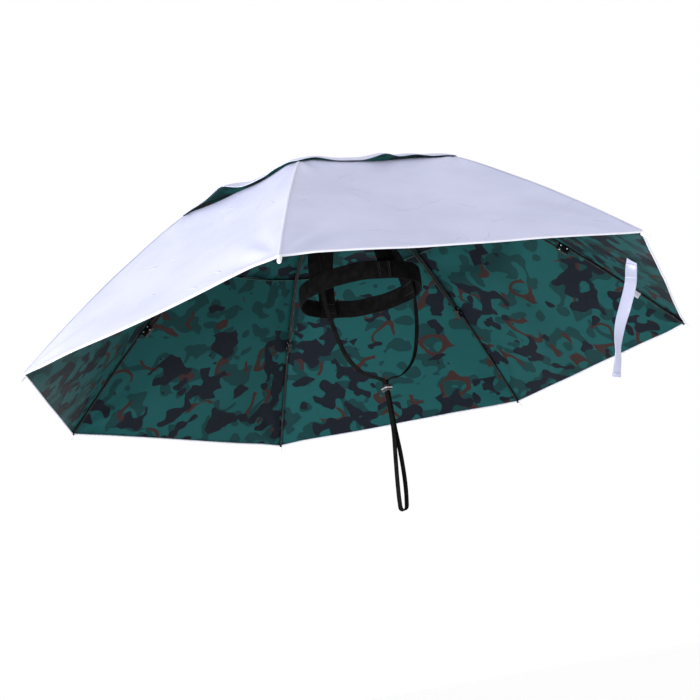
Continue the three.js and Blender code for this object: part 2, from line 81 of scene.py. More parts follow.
# Shapes shared by several pieces

def smoothRow(rows, at):
    i = 0
    while i < len(rows) - 2 and at > rows[i + 1][0]:
        i += 1

    def slope(k):
        low, high = rows[max(k - 1, 0)], rows[min(k + 1, len(rows) - 1)]
        return (high[1] - low[1]) / (high[0] - low[0])

    width = rows[i + 1][0] - rows[i][0]
    t = (at - rows[i][0]) / width
    start = 0.0 if i == 0 else slope(i)
    value = (1 + 2 * t) * (1 - t) ** 2 * rows[i][1] + t * t * (3 - 2 * t) * rows[i + 1][1]
    return value + t * (1 - t) ** 2 * width * start - t * t * (1 - t) * width * slope(i + 1)


def ribOutward(i):
    turn = canopy["ribs"][ribNames[i % ribCount]][0]
    angle = math.pi - 2 * math.pi * (i % ribCount) / ribCount + math.radians(turn)
    return Vector((math.cos(angle), math.sin(angle), 0))


def ribHeight(i, out):
    lift = canopy["ribs"][ribNames[i % ribCount]][1] * canopy["rimRadius"]
    return canopy["height"] * smoothRow(canopy["curve"], out) + lift * out * out


def ribInward(i, out):
    low, high = max(out - canopy["slopeStep"], 0), out + canopy["slopeStep"]
    rise = ribHeight(i, high) - ribHeight(i, low)
    run = canopy["rimRadius"] * (high - low)
    return (ribOutward(i) * rise - Vector((0, 0, run))).normalized()


def ribPoint(i, out, below=0.0):
    point = axisPoint + ribOutward(i) * (canopy["rimRadius"] * out) + Vector((0, 0, ribHeight(i, out)))
    return point + ribInward(i, out) * below


def ribMatrix(i, out, below):
    z = -ribInward(i, out)
    y = z.cross(ribOutward(i)).normalized()
    x = y.cross(z)
    turn = Matrix((x, y, z)).transposed().to_4x4()
    return Matrix.Translation(ribPoint(i, out, below)) @ turn


def canopyPoint(i, out, across):
    point = ribPoint(i, out).lerp(ribPoint(i + 1, out), across)
    inward = ribInward(i, out).lerp(ribInward(i + 1, out), across).normalized()
    return point, inward


def chordAt(out):
    return 2 * canopy["rimRadius"] * out * math.sin(math.pi / ribCount)


# The names of the two ribs that panel or gore i lies between
def pairOf(i):
    return ribNames[i] + ribNames[(i + 1) % ribCount]


def hump(x):
    return 4 * x * (1 - x)


def runningLengths(points):
    lengths = [0.0]
    for a, b in zip(points, points[1:]):
        lengths.append(lengths[-1] + (b - a).length)
    return lengths


# Small modelling helpers

def makeActive(piece):
    bpy.ops.object.select_all(action="DESELECT")
    piece.select_set(True)
    bpy.context.view_layer.objects.active = piece


def newMesh(name, points, faces, uvs=None, edges=()):
    mesh = bpy.data.meshes.new(name)
    mesh.from_pydata([tuple(p) for p in points], list(edges), faces)
    mesh.update()
    piece = bpy.data.objects.new(name, mesh)
    scene.collection.objects.link(piece)
    if uvs is not None:
        layer = mesh.uv_layers.new(name="cloth")
        for loop in mesh.loops:
            layer.data[loop.index].uv = uvs[loop.vertex_index]
    return piece


def applyModifier(piece, kind, **settings):
    makeActive(piece)
    modifier = piece.modifiers.new(kind.title(), kind)
    for key, value in settings.items():
        setattr(modifier, key, value)
    bpy.ops.object.modifier_apply(modifier=modifier.name)


def smooth(piece, angle=40):
    makeActive(piece)
    bpy.ops.object.shade_smooth_by_angle(angle=math.radians(angle))


# Gives a sheet its wall on both sides of it, with rounded edges
def walled(piece, wall, bevel, segments=2, even=False, turn=50):
    applyModifier(piece, "SOLIDIFY", thickness=wall, offset=0.0, use_even_offset=even)
    applyModifier(piece, "BEVEL", width=bevel, segments=segments, limit_method="ANGLE",
                  angle_limit=math.radians(turn))
    smooth(piece, turn)


def setMaterials(piece, *materials):
    piece.data.materials.clear()
    for material in materials:
        piece.data.materials.append(material)


# surface(v, u) gives a point and its place on the flat cloth, for v and u from 0 to 1
def gridSheet(name, rows, columns, surface):
    points, uvs, faces = [], [], []
    for r in range(rows + 1):
        for c in range(columns + 1):
            point, uv = surface(r / rows, c / columns)
            points.append(point)
            uvs.append(uv)
    for r in range(rows):
        for c in range(columns):
            a = r * (columns + 1) + c
            faces.append((a, a + 1, a + columns + 2, a + columns + 1))
    return newMesh(name, points, faces, uvs)


# A flat strap through points, as wide as width along each across
def ribbon(name, points, acrosses, width, wall, material, cup=0.0, columns=6):
    lengths = runningLengths(points)
    last = len(points) - 1

    def surface(v, u):
        k = round(v * last)
        along = (points[min(k + 1, last)] - points[max(k - 1, 0)]).normalized()
        across = (acrosses[k] - along * acrosses[k].dot(along)).normalized()
        out = along.cross(across)
        place = points[k] + across * (width * (u - 0.5)) + out * (cup * hump(u))
        return place, (width * (u - 0.5), lengths[k])

    piece = gridSheet(name, last, columns, surface)
    walled(piece, wall, wall * 0.3, even=True)
    setMaterials(piece, material)
    return piece


# Even points on a smooth curve through the given ones
def curvePoints(points, steps, between=24):
    fine = []
    padded = [points[0] * 2 - points[1]] + list(points) + [points[-1] * 2 - points[-2]]
    for k in range(1, len(padded) - 2):
        p0, p1, p2, p3 = padded[k - 1:k + 3]
        knots = [0.0]
        for a, b in ((p0, p1), (p1, p2), (p2, p3)):
            knots.append(knots[-1] + max((b - a).length, 1e-6) ** 0.5)
        for j in range(between):
            t = knots[1] + (knots[2] - knots[1]) * j / between
            a1 = p0.lerp(p1, (t - knots[0]) / (knots[1] - knots[0]))
            a2 = p1.lerp(p2, (t - knots[1]) / (knots[2] - knots[1]))
            a3 = p2.lerp(p3, (t - knots[2]) / (knots[3] - knots[2]))
            b1 = a1.lerp(a2, (t - knots[0]) / (knots[2] - knots[0]))
            b2 = a2.lerp(a3, (t - knots[1]) / (knots[3] - knots[1]))
            fine.append(b1.lerp(b2, (t - knots[1]) / (knots[2] - knots[1])))
    fine.append(Vector(points[-1]))
    lengths = runningLengths(fine)
    even, k = [], 0
    for s in range(steps + 1):
        target = lengths[-1] * s / steps
        while k < len(fine) - 2 and lengths[k + 1] < target:
            k += 1
        span = max(lengths[k + 1] - lengths[k], 1e-9)
        even.append(fine[k].lerp(fine[k + 1], (target - lengths[k]) / span))
    return even, lengths[-1]


# A round bar with closed ends through points
def roundRod(name, points, radius, material, sides=12):
    curve = bpy.data.curves.new(name, "CURVE")
    curve.dimensions = "3D"
    spline = curve.splines.new("POLY")
    spline.points.add(len(points) - 1)
    for k, p in enumerate(points):
        spline.points[k].co = (*p, 1)
    curve.bevel_depth = radius
    curve.bevel_resolution = max(sides // 4 - 1, 1)
    curve.use_fill_caps = True
    piece = bpy.data.objects.new(name, curve)
    scene.collection.objects.link(piece)
    makeActive(piece)
    bpy.ops.object.convert(target="MESH")
    piece = bpy.context.view_layer.objects.active
    smooth(piece)
    setMaterials(piece, material)
    return piece


# A round piece spun about the Z axis from a profile of radius and height
def turned(name, profile, steps=48):
    points = [Vector((r, 0, z)) for r, z in profile]
    edges = [(k, k + 1) for k in range(len(points) - 1)]
    piece = newMesh(name, points, [], edges=edges)
    makeActive(piece)
    bpy.ops.object.mode_set(mode="EDIT")
    bpy.ops.mesh.select_all(action="SELECT")
    bpy.ops.mesh.spin(steps=steps, angle=2 * math.pi, center=(0, 0, 0), axis=(0, 0, 1))
    bpy.ops.mesh.select_all(action="SELECT")
    bpy.ops.mesh.remove_doubles(threshold=1e-6)
    bpy.ops.mesh.normals_make_consistent(inside=False)
    bpy.ops.object.mode_set(mode="OBJECT")
    return piece


def placed(piece, matrix):
    makeActive(piece)
    piece.matrix_world = matrix
    bpy.ops.object.transform_apply(location=True, rotation=True, scale=True)
    return piece


def boxPiece(name, size, bevel, segments=3):
    makeActive(camera)
    bpy.ops.mesh.primitive_cube_add(size=1)
    piece = bpy.context.view_layer.objects.active
    piece.name = name
    piece.scale = size
    bpy.ops.object.transform_apply(location=True, rotation=True, scale=True)
    applyModifier(piece, "BEVEL", width=bevel, segments=segments)
    smooth(piece)
    return piece


# Sewing, in metres: pitch, length and radius of a stitch
stitches = {"cloth": (0.0026, 0.0018, 0.00022), "elastic": (0.0022, 0.0019, 0.0003),
            "webbing": (0.0018, 0.0015, 0.00025),
            "sides": 6, "rings": ((-0.3, 0.8), (0.0, 1.0), (0.3, 0.8))}   # share of the length, of the radius


# Small raised stitches along a line, as one mesh
def stitchRun(name, points, material, kind="cloth"):
    pitch, length, radius = stitches[kind]
    sides = stitches["sides"]
    points = [Vector(p) for p in points]
    even, total = curvePoints(points, max(int(runningLengths(points)[-1] / pitch) * 4, 8))
    verts, faces = [], []
    count = max(int(total / pitch), 1)
    for k in range(count):
        middle = (k + 0.5) / count * (len(even) - 1)
        low = min(int(middle), len(even) - 2)
        place = even[low].lerp(even[low + 1], middle - low)
        along = (even[low + 1] - even[low]).normalized()
        side = along.orthogonal().normalized()
        other = along.cross(side)
        start = len(verts)
        verts.append(place - along * (length / 2))
        for share, wide in stitches["rings"]:
            for q in range(sides):
                turn = 2 * math.pi * q / sides
                ring = side * math.cos(turn) + other * math.sin(turn)
                verts.append(place + along * (length * share) + ring * (radius * wide))
        verts.append(place + along * (length / 2))
        end = len(verts) - 1
        for q in range(sides):
            r = (q + 1) % sides
            faces.append((start, start + 1 + r, start + 1 + q))
            for ring in range(len(stitches["rings"]) - 1):
                a, b = start + 1 + ring * sides + q, start + 1 + ring * sides + r
                faces.append((a, b, b + sides, a + sides))
            faces.append((end, end - sides + q, end - sides + r))
    piece = newMesh(name, verts, faces)
    setMaterials(piece, material)
    smooth(piece, 60)
    return piece


# Rides on the hat and stands for the named solids, which it hides
def finished(piece, slot, *nodes):
    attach(piece, "root")
    if nodes:
        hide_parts(*nodes)
    return piece


def joined(name, pieces):
    makeActive(pieces[0])
    for piece in pieces:
        piece.select_set(True)
    bpy.ops.object.join()
    whole = bpy.context.view_layer.objects.active
    whole.name = name
    whole.data.name = name
    return whole


# Shader groups and their small helpers

# Inputs are numbers with a default, or vectors with none
def nodeGroup(name, inputs, output):
    group = bpy.data.node_groups.new(name, "ShaderNodeTree")
    for label, default in inputs.items():
        kind = "NodeSocketVector" if default is None else "NodeSocketFloat"
        socket = group.interface.new_socket(label, in_out="INPUT", socket_type=kind)
        if default is not None:
            socket.default_value = default
    group.interface.new_socket(output, in_out="OUTPUT", socket_type="NodeSocketFloat")
    return group, group.nodes.new("NodeGroupInput"), group.nodes.new("NodeGroupOutput")


def mathNode(tree, operation, a, b=None):
    node = tree.nodes.new("ShaderNodeMath")
    node.operation = operation
    for socket, value in zip(node.inputs, (a, b)):
        if value is None:
            continue
        if isinstance(value, (int, float)):
            socket.default_value = value
        else:
            tree.links.new(value, socket)
    return node.outputs[0]


def plus(tree, a, b):
    return mathNode(tree, "ADD", a, b)


def minus(tree, a, b):
    return mathNode(tree, "SUBTRACT", a, b)


def times(tree, a, b):
    return mathNode(tree, "MULTIPLY", a, b)


def awayFrom(tree, value, middle):
    return mathNode(tree, "ABSOLUTE", minus(tree, value, middle))


def noiseNode(tree, vector, scale, detail=2.0, rough=0.5, distortion=0.0):
    node = tree.nodes.new("ShaderNodeTexNoise")
    node.inputs["Scale"].default_value = scale
    node.inputs["Detail"].default_value = detail
    node.inputs["Roughness"].default_value = rough
    node.inputs["Distortion"].default_value = distortion
    tree.links.new(vector, node.inputs["Vector"])
    return node.outputs["Fac"]


def stepMask(tree, value, low, high):
    node = tree.nodes.new("ShaderNodeMapRange")
    node.interpolation_type = "SMOOTHSTEP"
    node.inputs["From Min"].default_value = low
    node.inputs["From Max"].default_value = high
    tree.links.new(value, node.inputs["Value"])
    return node.outputs["Result"]


def mixColour(tree, mask, a, b):
    node = tree.nodes.new("ShaderNodeMix")
    node.data_type = "RGBA"
    for socket, value in ((node.inputs[6], a), (node.inputs[7], b)):
        if isinstance(value, tuple):
            socket.default_value = (*value, 1)
        else:
            tree.links.new(value, socket)
    tree.links.new(mask, node.inputs[0])
    return node.outputs[2]


def splitVector(tree, vector):
    node = tree.nodes.new("ShaderNodeSeparateXYZ")
    tree.links.new(vector, node.inputs[0])
    return node.outputs["X"], node.outputs["Y"]


def scaledVector(tree, start):
    node = tree.nodes.new("ShaderNodeVectorMath")
    node.operation = "SCALE"
    tree.links.new(start.outputs["Vector"], node.inputs[0])
    tree.links.new(start.outputs["Scale"], node.inputs["Scale"])
    return node.outputs[0]


def makeWeave():
    group, start, end = nodeGroup("plainWeave", {"Vector": None, "Threads": 2500.0}, "Height")
    waves = []
    for axis in splitVector(group, start.outputs["Vector"]):
        waves.append(mathNode(group, "SINE", times(group, axis, start.outputs["Threads"])))
    group.links.new(times(group, *waves), end.inputs["Height"])
    return group


# Soft creases, broad ones and finer ones between them
def makeCreases():
    group, start, end = nodeGroup("softCreases", {"Vector": None, "Scale": 6.0}, "Height")
    vector = scaledVector(group, start)
    broad = awayFrom(group, noiseNode(group, vector, 1.0, 3.0, 0.45, 0.6), 0.5)
    fine = awayFrom(group, noiseNode(group, vector, 5.0, 2.0, 0.5, 1.2), 0.5)
    both = plus(group, times(group, broad, 1.4), times(group, fine, 0.35))
    group.links.new(both, end.inputs["Height"])
    return group


# A few short sharp crease lines, as in coated cloth that has been folded
def makeCrinkles():
    inputs = {"Vector": None, "Scale": 11.0, "Spread": 0.60}
    group, start, end = nodeGroup("sharpCrinkles", inputs, "Height")
    vector = scaledVector(group, start)
    away = awayFrom(group, noiseNode(group, vector, 1.0, 1.0, 0.4, 0.9), 0.5)
    line = minus(group, 1.0, stepMask(group, away, 0.0, 0.012))
    where = noiseNode(group, vector, 2.3, 0.0)
    patch = mathNode(group, "GREATER_THAN", where, start.outputs["Spread"])
    group.links.new(times(group, line, patch), end.inputs["Height"])
    return group


# A row of stitches, at a distance from its own line
def makeStitches():
    inputs = {"Distance": 0.0, "Along": 0.0, "Pitch": 0.0028, "Width": 0.0006}
    group, start, end = nodeGroup("stitchRow", inputs, "Mask")
    turns = mathNode(group, "DIVIDE", start.outputs["Along"], start.outputs["Pitch"])
    part = awayFrom(group, mathNode(group, "FRACT", turns), 0.5)
    dash = mathNode(group, "LESS_THAN", part, 0.36)
    away = mathNode(group, "ABSOLUTE", start.outputs["Distance"])
    near = mathNode(group, "LESS_THAN", away, start.outputs["Width"])
    group.links.new(times(group, dash, near), end.inputs["Mask"])
    return group


weaveGroup = makeWeave()
creaseGroup = makeCreases()
crinkleGroup = makeCrinkles()
stitchGroup = makeStitches()


def groupNode(tree, group, **values):
    node = tree.nodes.new("ShaderNodeGroup")
    node.node_tree = group
    for key, value in values.items():
        if isinstance(value, (int, float)):
            node.inputs[key].default_value = value
        else:
            tree.links.new(value, node.inputs[key])
    return node.outputs[0]


def newMaterial(name, metallic=0.0, roughness=0.5, shine=0.5):
    material = bpy.data.materials.new(name)
    material.use_nodes = True
    shader = material.node_tree.nodes["Principled BSDF"]
    shader.inputs["Metallic"].default_value = metallic
    shader.inputs["Roughness"].default_value = roughness
    shader.inputs["Specular IOR Level"].default_value = shine
    return material, material.node_tree, shader


def clothUv(tree):
    node = tree.nodes.new("ShaderNodeUVMap")
    node.uv_map = "cloth"
    return node.outputs[0]


def objectPlace(tree):
    return tree.nodes.new("ShaderNodeTexCoord").outputs["Object"]


def colourInto(tree, shader, mask, a, b):
    tree.links.new(mixColour(tree, mask, a, b), shader.inputs["Base Color"])


def bumpInto(tree, shader, height, strength, distance):
    node = tree.nodes.new("ShaderNodeBump")
    node.inputs["Strength"].default_value = strength
    node.inputs["Distance"].default_value = distance
    tree.links.new(height, node.inputs["Height"])
    tree.links.new(node.outputs[0], shader.inputs["Normal"])


# Roughness that changes over the surface, from least up by spread times a noise
def unevenRoughness(tree, shader, vector, scale, detail, spread, least):
    rough = plus(tree, times(tree, noiseNode(tree, vector, scale, detail), spread), least)
    tree.links.new(rough, shader.inputs["Roughness"])


# The canopy's cloth: weave and creases are on both faces, the coating on the outer one
cloth = {
    "threads": 7000.0, "silverWeave": 0.03, "printWeave": 0.04, "creases": 7.0,
    "bump": 0.5, "bumpDepth": 0.0016, "patches": 9.0, "patchEdges": (0.35, 0.7),
    "rough": (60.0, 3.0, 0.18, 0.36),   # scale, detail, spread, least
    "seamRows": (-0.0011, 0.0011), "seamStitch": 0.4,
}


def clothHeight(tree, uv, weave):
    threads = times(tree, groupNode(tree, weaveGroup, Vector=uv, Threads=cloth["threads"]), weave)
    return plus(tree, threads, groupNode(tree, creaseGroup, Vector=uv, Scale=cloth["creases"]))


def makeSilver(name, light, dark, metallic, stitched=False):
    material, tree, shader = newMaterial(name, metallic=metallic)
    uv = clothUv(tree)
    patches = stepMask(tree, noiseNode(tree, uv, cloth["patches"], 3.0), *cloth["patchEdges"])
    colourInto(tree, shader, patches, light, dark)
    unevenRoughness(tree, shader, uv, *cloth["rough"])
    height = plus(tree, clothHeight(tree, uv, cloth["silverWeave"]), groupNode(tree, crinkleGroup, Vector=uv))
    if stitched:
        across, along = splitVector(tree, uv)
        for row in cloth["seamRows"]:
            mask = groupNode(tree, stitchGroup, Distance=minus(tree, across, row), Along=along)
            height = plus(tree, height, times(tree, mask, cloth["seamStitch"]))
    bumpInto(tree, shader, height, cloth["bump"], cloth["bumpDepth"])
    return material


# The moved cloth place, the distance from scattered middles made bumpy, and two random values of a cell
def bumpyCells(tree, uv, place, cell, lobe, bump):
    moved = tree.nodes.new("ShaderNodeMapping")
    moved.inputs["Location"].default_value = (*place, 0)
    tree.links.new(uv, moved.inputs["Vector"])
    cells = tree.nodes.new("ShaderNodeTexVoronoi")
    cells.voronoi_dimensions = "2D"
    cells.inputs["Scale"].default_value = 1 / cell
    cells.inputs["Randomness"].default_value = 0.8
    tree.links.new(moved.outputs[0], cells.inputs["Vector"])
    parts = tree.nodes.new("ShaderNodeSeparateColor")
    tree.links.new(cells.outputs["Color"], parts.inputs[0])
    bumpy = minus(tree, noiseNode(tree, moved.outputs[0], 1 / lobe, 0.3, 0.4), 0.5)
    edge = plus(tree, cells.outputs["Distance"], times(tree, bumpy, bump))
    return moved.outputs[0], edge, parts.outputs[0], parts.outputs[1]


# Lobed islands, kept in a share of the cells
def lobedBlots(tree, uv, place, cell, radius, lobe, kept):
    vector, edge, first, second = bumpyCells(tree, uv, place, cell, lobe, camo["blotBump"])
    spread = camo["blotSpread"]
    size = plus(tree, radius - spread / 2, times(tree, first, spread))
    mask = stepMask(tree, minus(tree, size, edge), -camo["soft"], camo["soft"])
    return times(tree, mask, mathNode(tree, "LESS_THAN", second, kept))


# Broken rings and hooks, each as wide as band on both sides of its line
def brokenCurls(tree, uv, place, cell, radius, lobe, band):
    vector, edge, first, second = bumpyCells(tree, uv, place, cell, lobe, camo["curlBump"])
    off = awayFrom(tree, edge, radius)
    ring = minus(tree, 1.0, stepMask(tree, off, band - camo["soft"], band + camo["soft"]))
    broken = stepMask(tree, noiseNode(tree, vector, camo["breaks"] / lobe, 0.0), *camo["breakEdges"])
    return times(tree, ring, broken)


camo = {
    "green": (0.0080, 0.062, 0.065), "deep": (0.0060, 0.032, 0.035),
    "brown": (0.032, 0.0150, 0.0150), "black": (0.0065, 0.0075, 0.0135), "worn": (0.08, 0.16, 0.15),
    "roughness": 0.45, "shine": 0.03, "patches": 29.0, "patchEdges": (0.565, 0.58),
    "wearScale": 140.0, "wear": 0.04,
    "soft": 0.012, "blotBump": 1.25, "blotSpread": 0.18, "curlBump": 0.9,
    "breaks": 0.6, "breakEdges": (0.50, 0.52),
    # marks, colour, place of the pattern, cell in metres, radius in cells, lobe in metres, share kept or band
    "layers": ((lobedBlots, "deep", (2.7, 6.1), 0.043, 0.17, 0.030, 0.6),
               (brokenCurls, "brown", (9.3, 1.2), 0.080, 0.24, 0.036, 0.070),
               (lobedBlots, "black", (1.7, 8.4), 0.076, 0.265, 0.022, 0.82),
               (lobedBlots, "black", (5.2, 3.3), 0.050, 0.15, 0.018, 0.34)),
}


def makeCamouflage():
    material, tree, shader = newMaterial("camouflageCloth", roughness=camo["roughness"], shine=camo["shine"])
    uv = clothUv(tree)
    deep = stepMask(tree, noiseNode(tree, uv, camo["patches"], 0.6, 0.3, 0.8), *camo["patchEdges"])
    colour = mixColour(tree, deep, camo["green"], camo["deep"])
    for marks, shade, *sizes in camo["layers"]:
        colour = mixColour(tree, marks(tree, uv, *sizes), colour, camo[shade])
    fade = times(tree, noiseNode(tree, uv, camo["wearScale"]), camo["wear"])
    colourInto(tree, shader, fade, colour, camo["worn"])
    bumpInto(tree, shader, clothHeight(tree, uv, cloth["printWeave"]), cloth["bump"], cloth["bumpDepth"])
    return material


steel = {"wornScale": 220.0, "wornEdges": (0.58, 0.70), "worn": (0.32, 0.32, 0.34),
         "rough": (900.0, 2.0, 0.25, 0.24), "grain": 1400.0, "bump": 0.2, "bumpDepth": 0.0002}


def makeSteel(name, colour, metallic, wear):
    material, tree, shader = newMaterial(name, metallic=metallic)
    place = objectPlace(tree)
    worn = stepMask(tree, noiseNode(tree, place, steel["wornScale"], 4.0, 0.6), *steel["wornEdges"])
    colourInto(tree, shader, times(tree, worn, wear), colour, steel["worn"])
    unevenRoughness(tree, shader, place, *steel["rough"])
    bumpInto(tree, shader, noiseNode(tree, place, steel["grain"]), steel["bump"], steel["bumpDepth"])
    return material


# Black elastic and webbing: fine ribs along the length, threads across, fuzz over both
tape = {"roughness": 0.85, "shine": 0.03, "dark": (0.0045, 0.0045, 0.0047), "light": (0.010, 0.0095, 0.010),
        "shades": 90.0, "shadeEdges": (0.3, 0.75), "threads": 1.6, "fuzzScale": 2600.0,
        "ribHeight": 0.6, "threadHeight": 0.35, "fuzzHeight": 0.5, "bumpDepth": 0.0004}


def makeTape(name, ribs, strength):
    material, tree, shader = newMaterial(name, roughness=tape["roughness"], shine=tape["shine"])
    uv = clothUv(tree)
    across, along = splitVector(tree, uv)
    rib = mathNode(tree, "SINE", times(tree, across, ribs))
    thread = mathNode(tree, "SINE", times(tree, along, ribs * tape["threads"]))
    height = plus(tree, times(tree, rib, tape["ribHeight"]), times(tree, thread, tape["threadHeight"]))
    height = plus(tree, height, times(tree, noiseNode(tree, uv, tape["fuzzScale"]), tape["fuzzHeight"]))
    shade = stepMask(tree, noiseNode(tree, uv, tape["shades"], 3.0), *tape["shadeEdges"])
    colourInto(tree, shader, shade, tape["dark"], tape["light"])
    bumpInto(tree, shader, height, strength, tape["bumpDepth"])
    return material


plain = {"tints": 80.0, "tintEdges": (0.4, 0.7), "tint": 0.25, "darker": 0.7, "greyer": 0.03,
         "grain": 1800.0, "bump": 0.25, "bumpDepth": 0.0002}


# Moulded plastic, thread and trim in one colour
def makePlain(name, colour, roughness):
    material, tree, shader = newMaterial(name, roughness=roughness)
    place = objectPlace(tree)
    tint = stepMask(tree, noiseNode(tree, place, plain["tints"], 3.0), *plain["tintEdges"])
    dull = tuple(c * plain["darker"] + plain["greyer"] for c in colour)
    colourInto(tree, shader, times(tree, tint, plain["tint"]), colour, dull)
    bumpInto(tree, shader, noiseNode(tree, place, plain["grain"], 3.0), plain["bump"], plain["bumpDepth"])
    return material


silver = makeSilver("silverCloth", (0.54, 0.56, 0.75), (0.485, 0.505, 0.685), 0.12)
silverSeam = makeSilver("silverSeam", (0.60, 0.61, 0.75), (0.54, 0.55, 0.69), 0.05, stitched=True)
silverTrim = makePlain("silverTrim", (0.66, 0.67, 0.76), 0.5)
whiteThread = makePlain("whiteThread", (0.72, 0.73, 0.80), 0.7)
blackThread = makePlain("blackThread", (0.022, 0.022, 0.025), 0.8)
camouflage = makeCamouflage()
darkTrim = makePlain("darkTrim", (0.010, 0.045, 0.038), 0.6)
blackSteel = makeSteel("blackSteel", (0.010, 0.010, 0.011), 0.5, 0.25)
brightSteel = makeSteel("brightSteel", (0.55, 0.56, 0.58), 1.0, 0.2)
elastic = makeTape("blackElastic", 4200.0, 0.7)
webbing = makeTape("blackWebbing", 3600.0, 0.9)
blackPlastic = makePlain("blackPlastic", (0.014, 0.014, 0.016), 0.42)
whitePlastic = makePlain("whitePlastic", (0.80, 0.81, 0.83), 0.30)
print("materials made")


# Camera, light and floor

camera = bpy.data.objects.new("camera", bpy.data.cameras.new("camera"))
scene.collection.objects.link(camera)
camera.data.lens = view["lens"]
camera.data.sensor_width = view["sensor"]
camera.data.clip_end = view["reach"]
camera.location = view["place"]
camera.rotation_euler = Euler([math.radians(a) for a in view["turn"]])
scene.camera = camera

scene.view_settings.view_transform = "Standard"
world = bpy.data.worlds.new("studio")
scene.world = world
world.use_nodes = True
background = world.node_tree.nodes["Background"]
background.inputs["Color"].default_value = (*lights["world"], 1)
background.inputs["Strength"].default_value = lights["worldPower"]


def areaLight(name, place, size, power):
    light = bpy.data.lights.new(name, "AREA")
    light.shape, light.size, light.energy = "DISK", size, power
    lamp = bpy.data.objects.new(name, light)
    lamp.location = place
    lamp.rotation_euler = (Vector(lights["aim"]) - Vector(place)).to_track_quat("-Z", "Y").to_euler()
    scene.collection.objects.link(lamp)


areaLight("keyLight", lights["keyPlace"], lights["keySize"], lights["keyPower"])
areaLight("fillLight", lights["fillPlace"], lights["fillSize"], lights["fillPower"])

makeActive(camera)
bpy.ops.mesh.primitive_plane_add(size=lights["floorSize"], location=(0, 0, -lights["floorDrop"]))
floor = bpy.context.view_layer.objects.active
floor.name = "floor"
floorMaterial, floorShader = newMaterial("paleFloor", roughness=lights["floorRoughness"])[::2]
floorShader.inputs["Base Color"].default_value = (*[lights["floorShade"]] * 3, 1)
setMaterials(floor, floorMaterial)


# Canopy panels

panel = {
    "rows": 60, "columns": 72, "facing": 0.7,
    "hemBead": 0.0013, "ventBead": 0.0007, "beadSides": 8, "beadDepth": 0.85, "beadSlope": 0.75,
    "wrinkle": 0.0026, "billow": 0.0028,
    # folds at the corners: side, end, how many, how far they reach
    "corners": ((0, 1, 9, 0.34), (1, 1, 8, 0.30), (0, 0, 7, 0.22), (1, 0, 7, 0.22)),
    "foldWidth": 1.5, "foldStart": 9, "foldShift": (1.7, 2.1), "edgeCalm": 10,
    "billowScale": (2.2, 1.8, 0.3), "billowShift": 5.1, "billowFine": 2.3,
    # where each panel's pattern lies on the flat cloth, in metres, and how far cloth follows the curve
    "patternShift": (0.71, 0.37), "patternStretch": 1.35,
}


# Soft folds that run from the rib tips and the hem's corners into the panel, in metres
def wrinkle(i, v, u):
    height = 0.0
    for cornerU, cornerV, folds, reach in panel["corners"]:
        du, dv = (u - cornerU) * panel["foldWidth"], v - cornerV
        away = math.hypot(du, dv)
        angle = math.atan2(abs(dv), abs(du) + 1e-6)
        phase = i * panel["foldShift"][0] + cornerU * panel["foldShift"][1] + cornerV
        fold = math.exp(-(away / reach) ** 2) * min(away * panel["foldStart"], 1)
        height += fold * math.sin(angle * folds + phase)
    wide, long, level = panel["billowScale"]
    place = Vector((u * wide + i * panel["billowShift"], v * long, level))
    broad = noise.noise(place) + 0.5 * noise.noise(place * panel["billowFine"])
    edge = min(u, 1 - u) * panel["edgeCalm"]
    return (panel["wrinkle"] * height + panel["billow"] * broad) * min(edge, 1)


def hemOut(u):
    return canopy["ventHem"] + canopy["ventScallop"] / canopy["rimRadius"] * hump(u)


# Where a point lies on the flat cloth, with each panel cut from its own part of it
def clothPlace(i, out, u):
    across, along = panel["patternShift"]
    length = out * canopy["rimRadius"] * panel["patternStretch"]
    return (u - 0.5) * chordAt(out) + i * across, length + i * along


def panelSurface(i, v, u):
    out = hemOut(u) + (1 - hemOut(u)) * v
    point, inward = canopyPoint(i, out, u)
    drawn = canopy["sag"] * hump(u) * math.sin(math.pi * v)
    return point + inward * (drawn + wrinkle(i, v, u)), clothPlace(i, out, u)


def sheetArea(surface, rows=20, columns=20):
    total = 0.0
    for r in range(rows):
        for c in range(columns):
            corners = ((r, c), (r, c + 1), (r + 1, c), (r + 1, c + 1))
            a, b, d, e = (surface(y / rows, x / columns)[0] for y, x in corners)
            total += (b - a).cross(d - a).length / 2 + (b - e).cross(d - e).length / 2
    return total


# Thin cloth, silver on its outer face and camouflage on its inner one
def clothSheet(name, surface, rows, columns, inward):
    piece = gridSheet(name, rows, columns, surface)
    setMaterials(piece, silver, camouflage)
    middle = piece.data.polygons[len(piece.data.polygons) // 2]
    if middle.normal.dot(inward) > 0:
        makeActive(piece)
        bpy.ops.object.mode_set(mode="EDIT")
        bpy.ops.mesh.select_all(action="SELECT")
        bpy.ops.mesh.flip_normals()
        bpy.ops.object.mode_set(mode="OBJECT")
    applyModifier(piece, "SOLIDIFY", thickness=canopy["wall"], offset=-1.0, material_offset=1,
                  material_offset_rim=0)
    smooth(piece, 60)
    return piece


# The rolled hem along an edge, on the cloth's inner face
def hemBead(name, surface, v, i, columns, material, radius):
    below = ribInward(i, panel["beadSlope"]) * (canopy["wall"] + panel["beadDepth"] * radius)
    line = [surface(v, c / columns)[0] + below for c in range(columns + 1)]
    return finished(roundRod(name, line, radius, material, panel["beadSides"]), "silver_cloth")


def declareCloth(surface, width):
    length = (surface(1, 0.5)[0] - surface(0, 0.5)[0]).length
    area = min(sheetArea(surface), width * length)


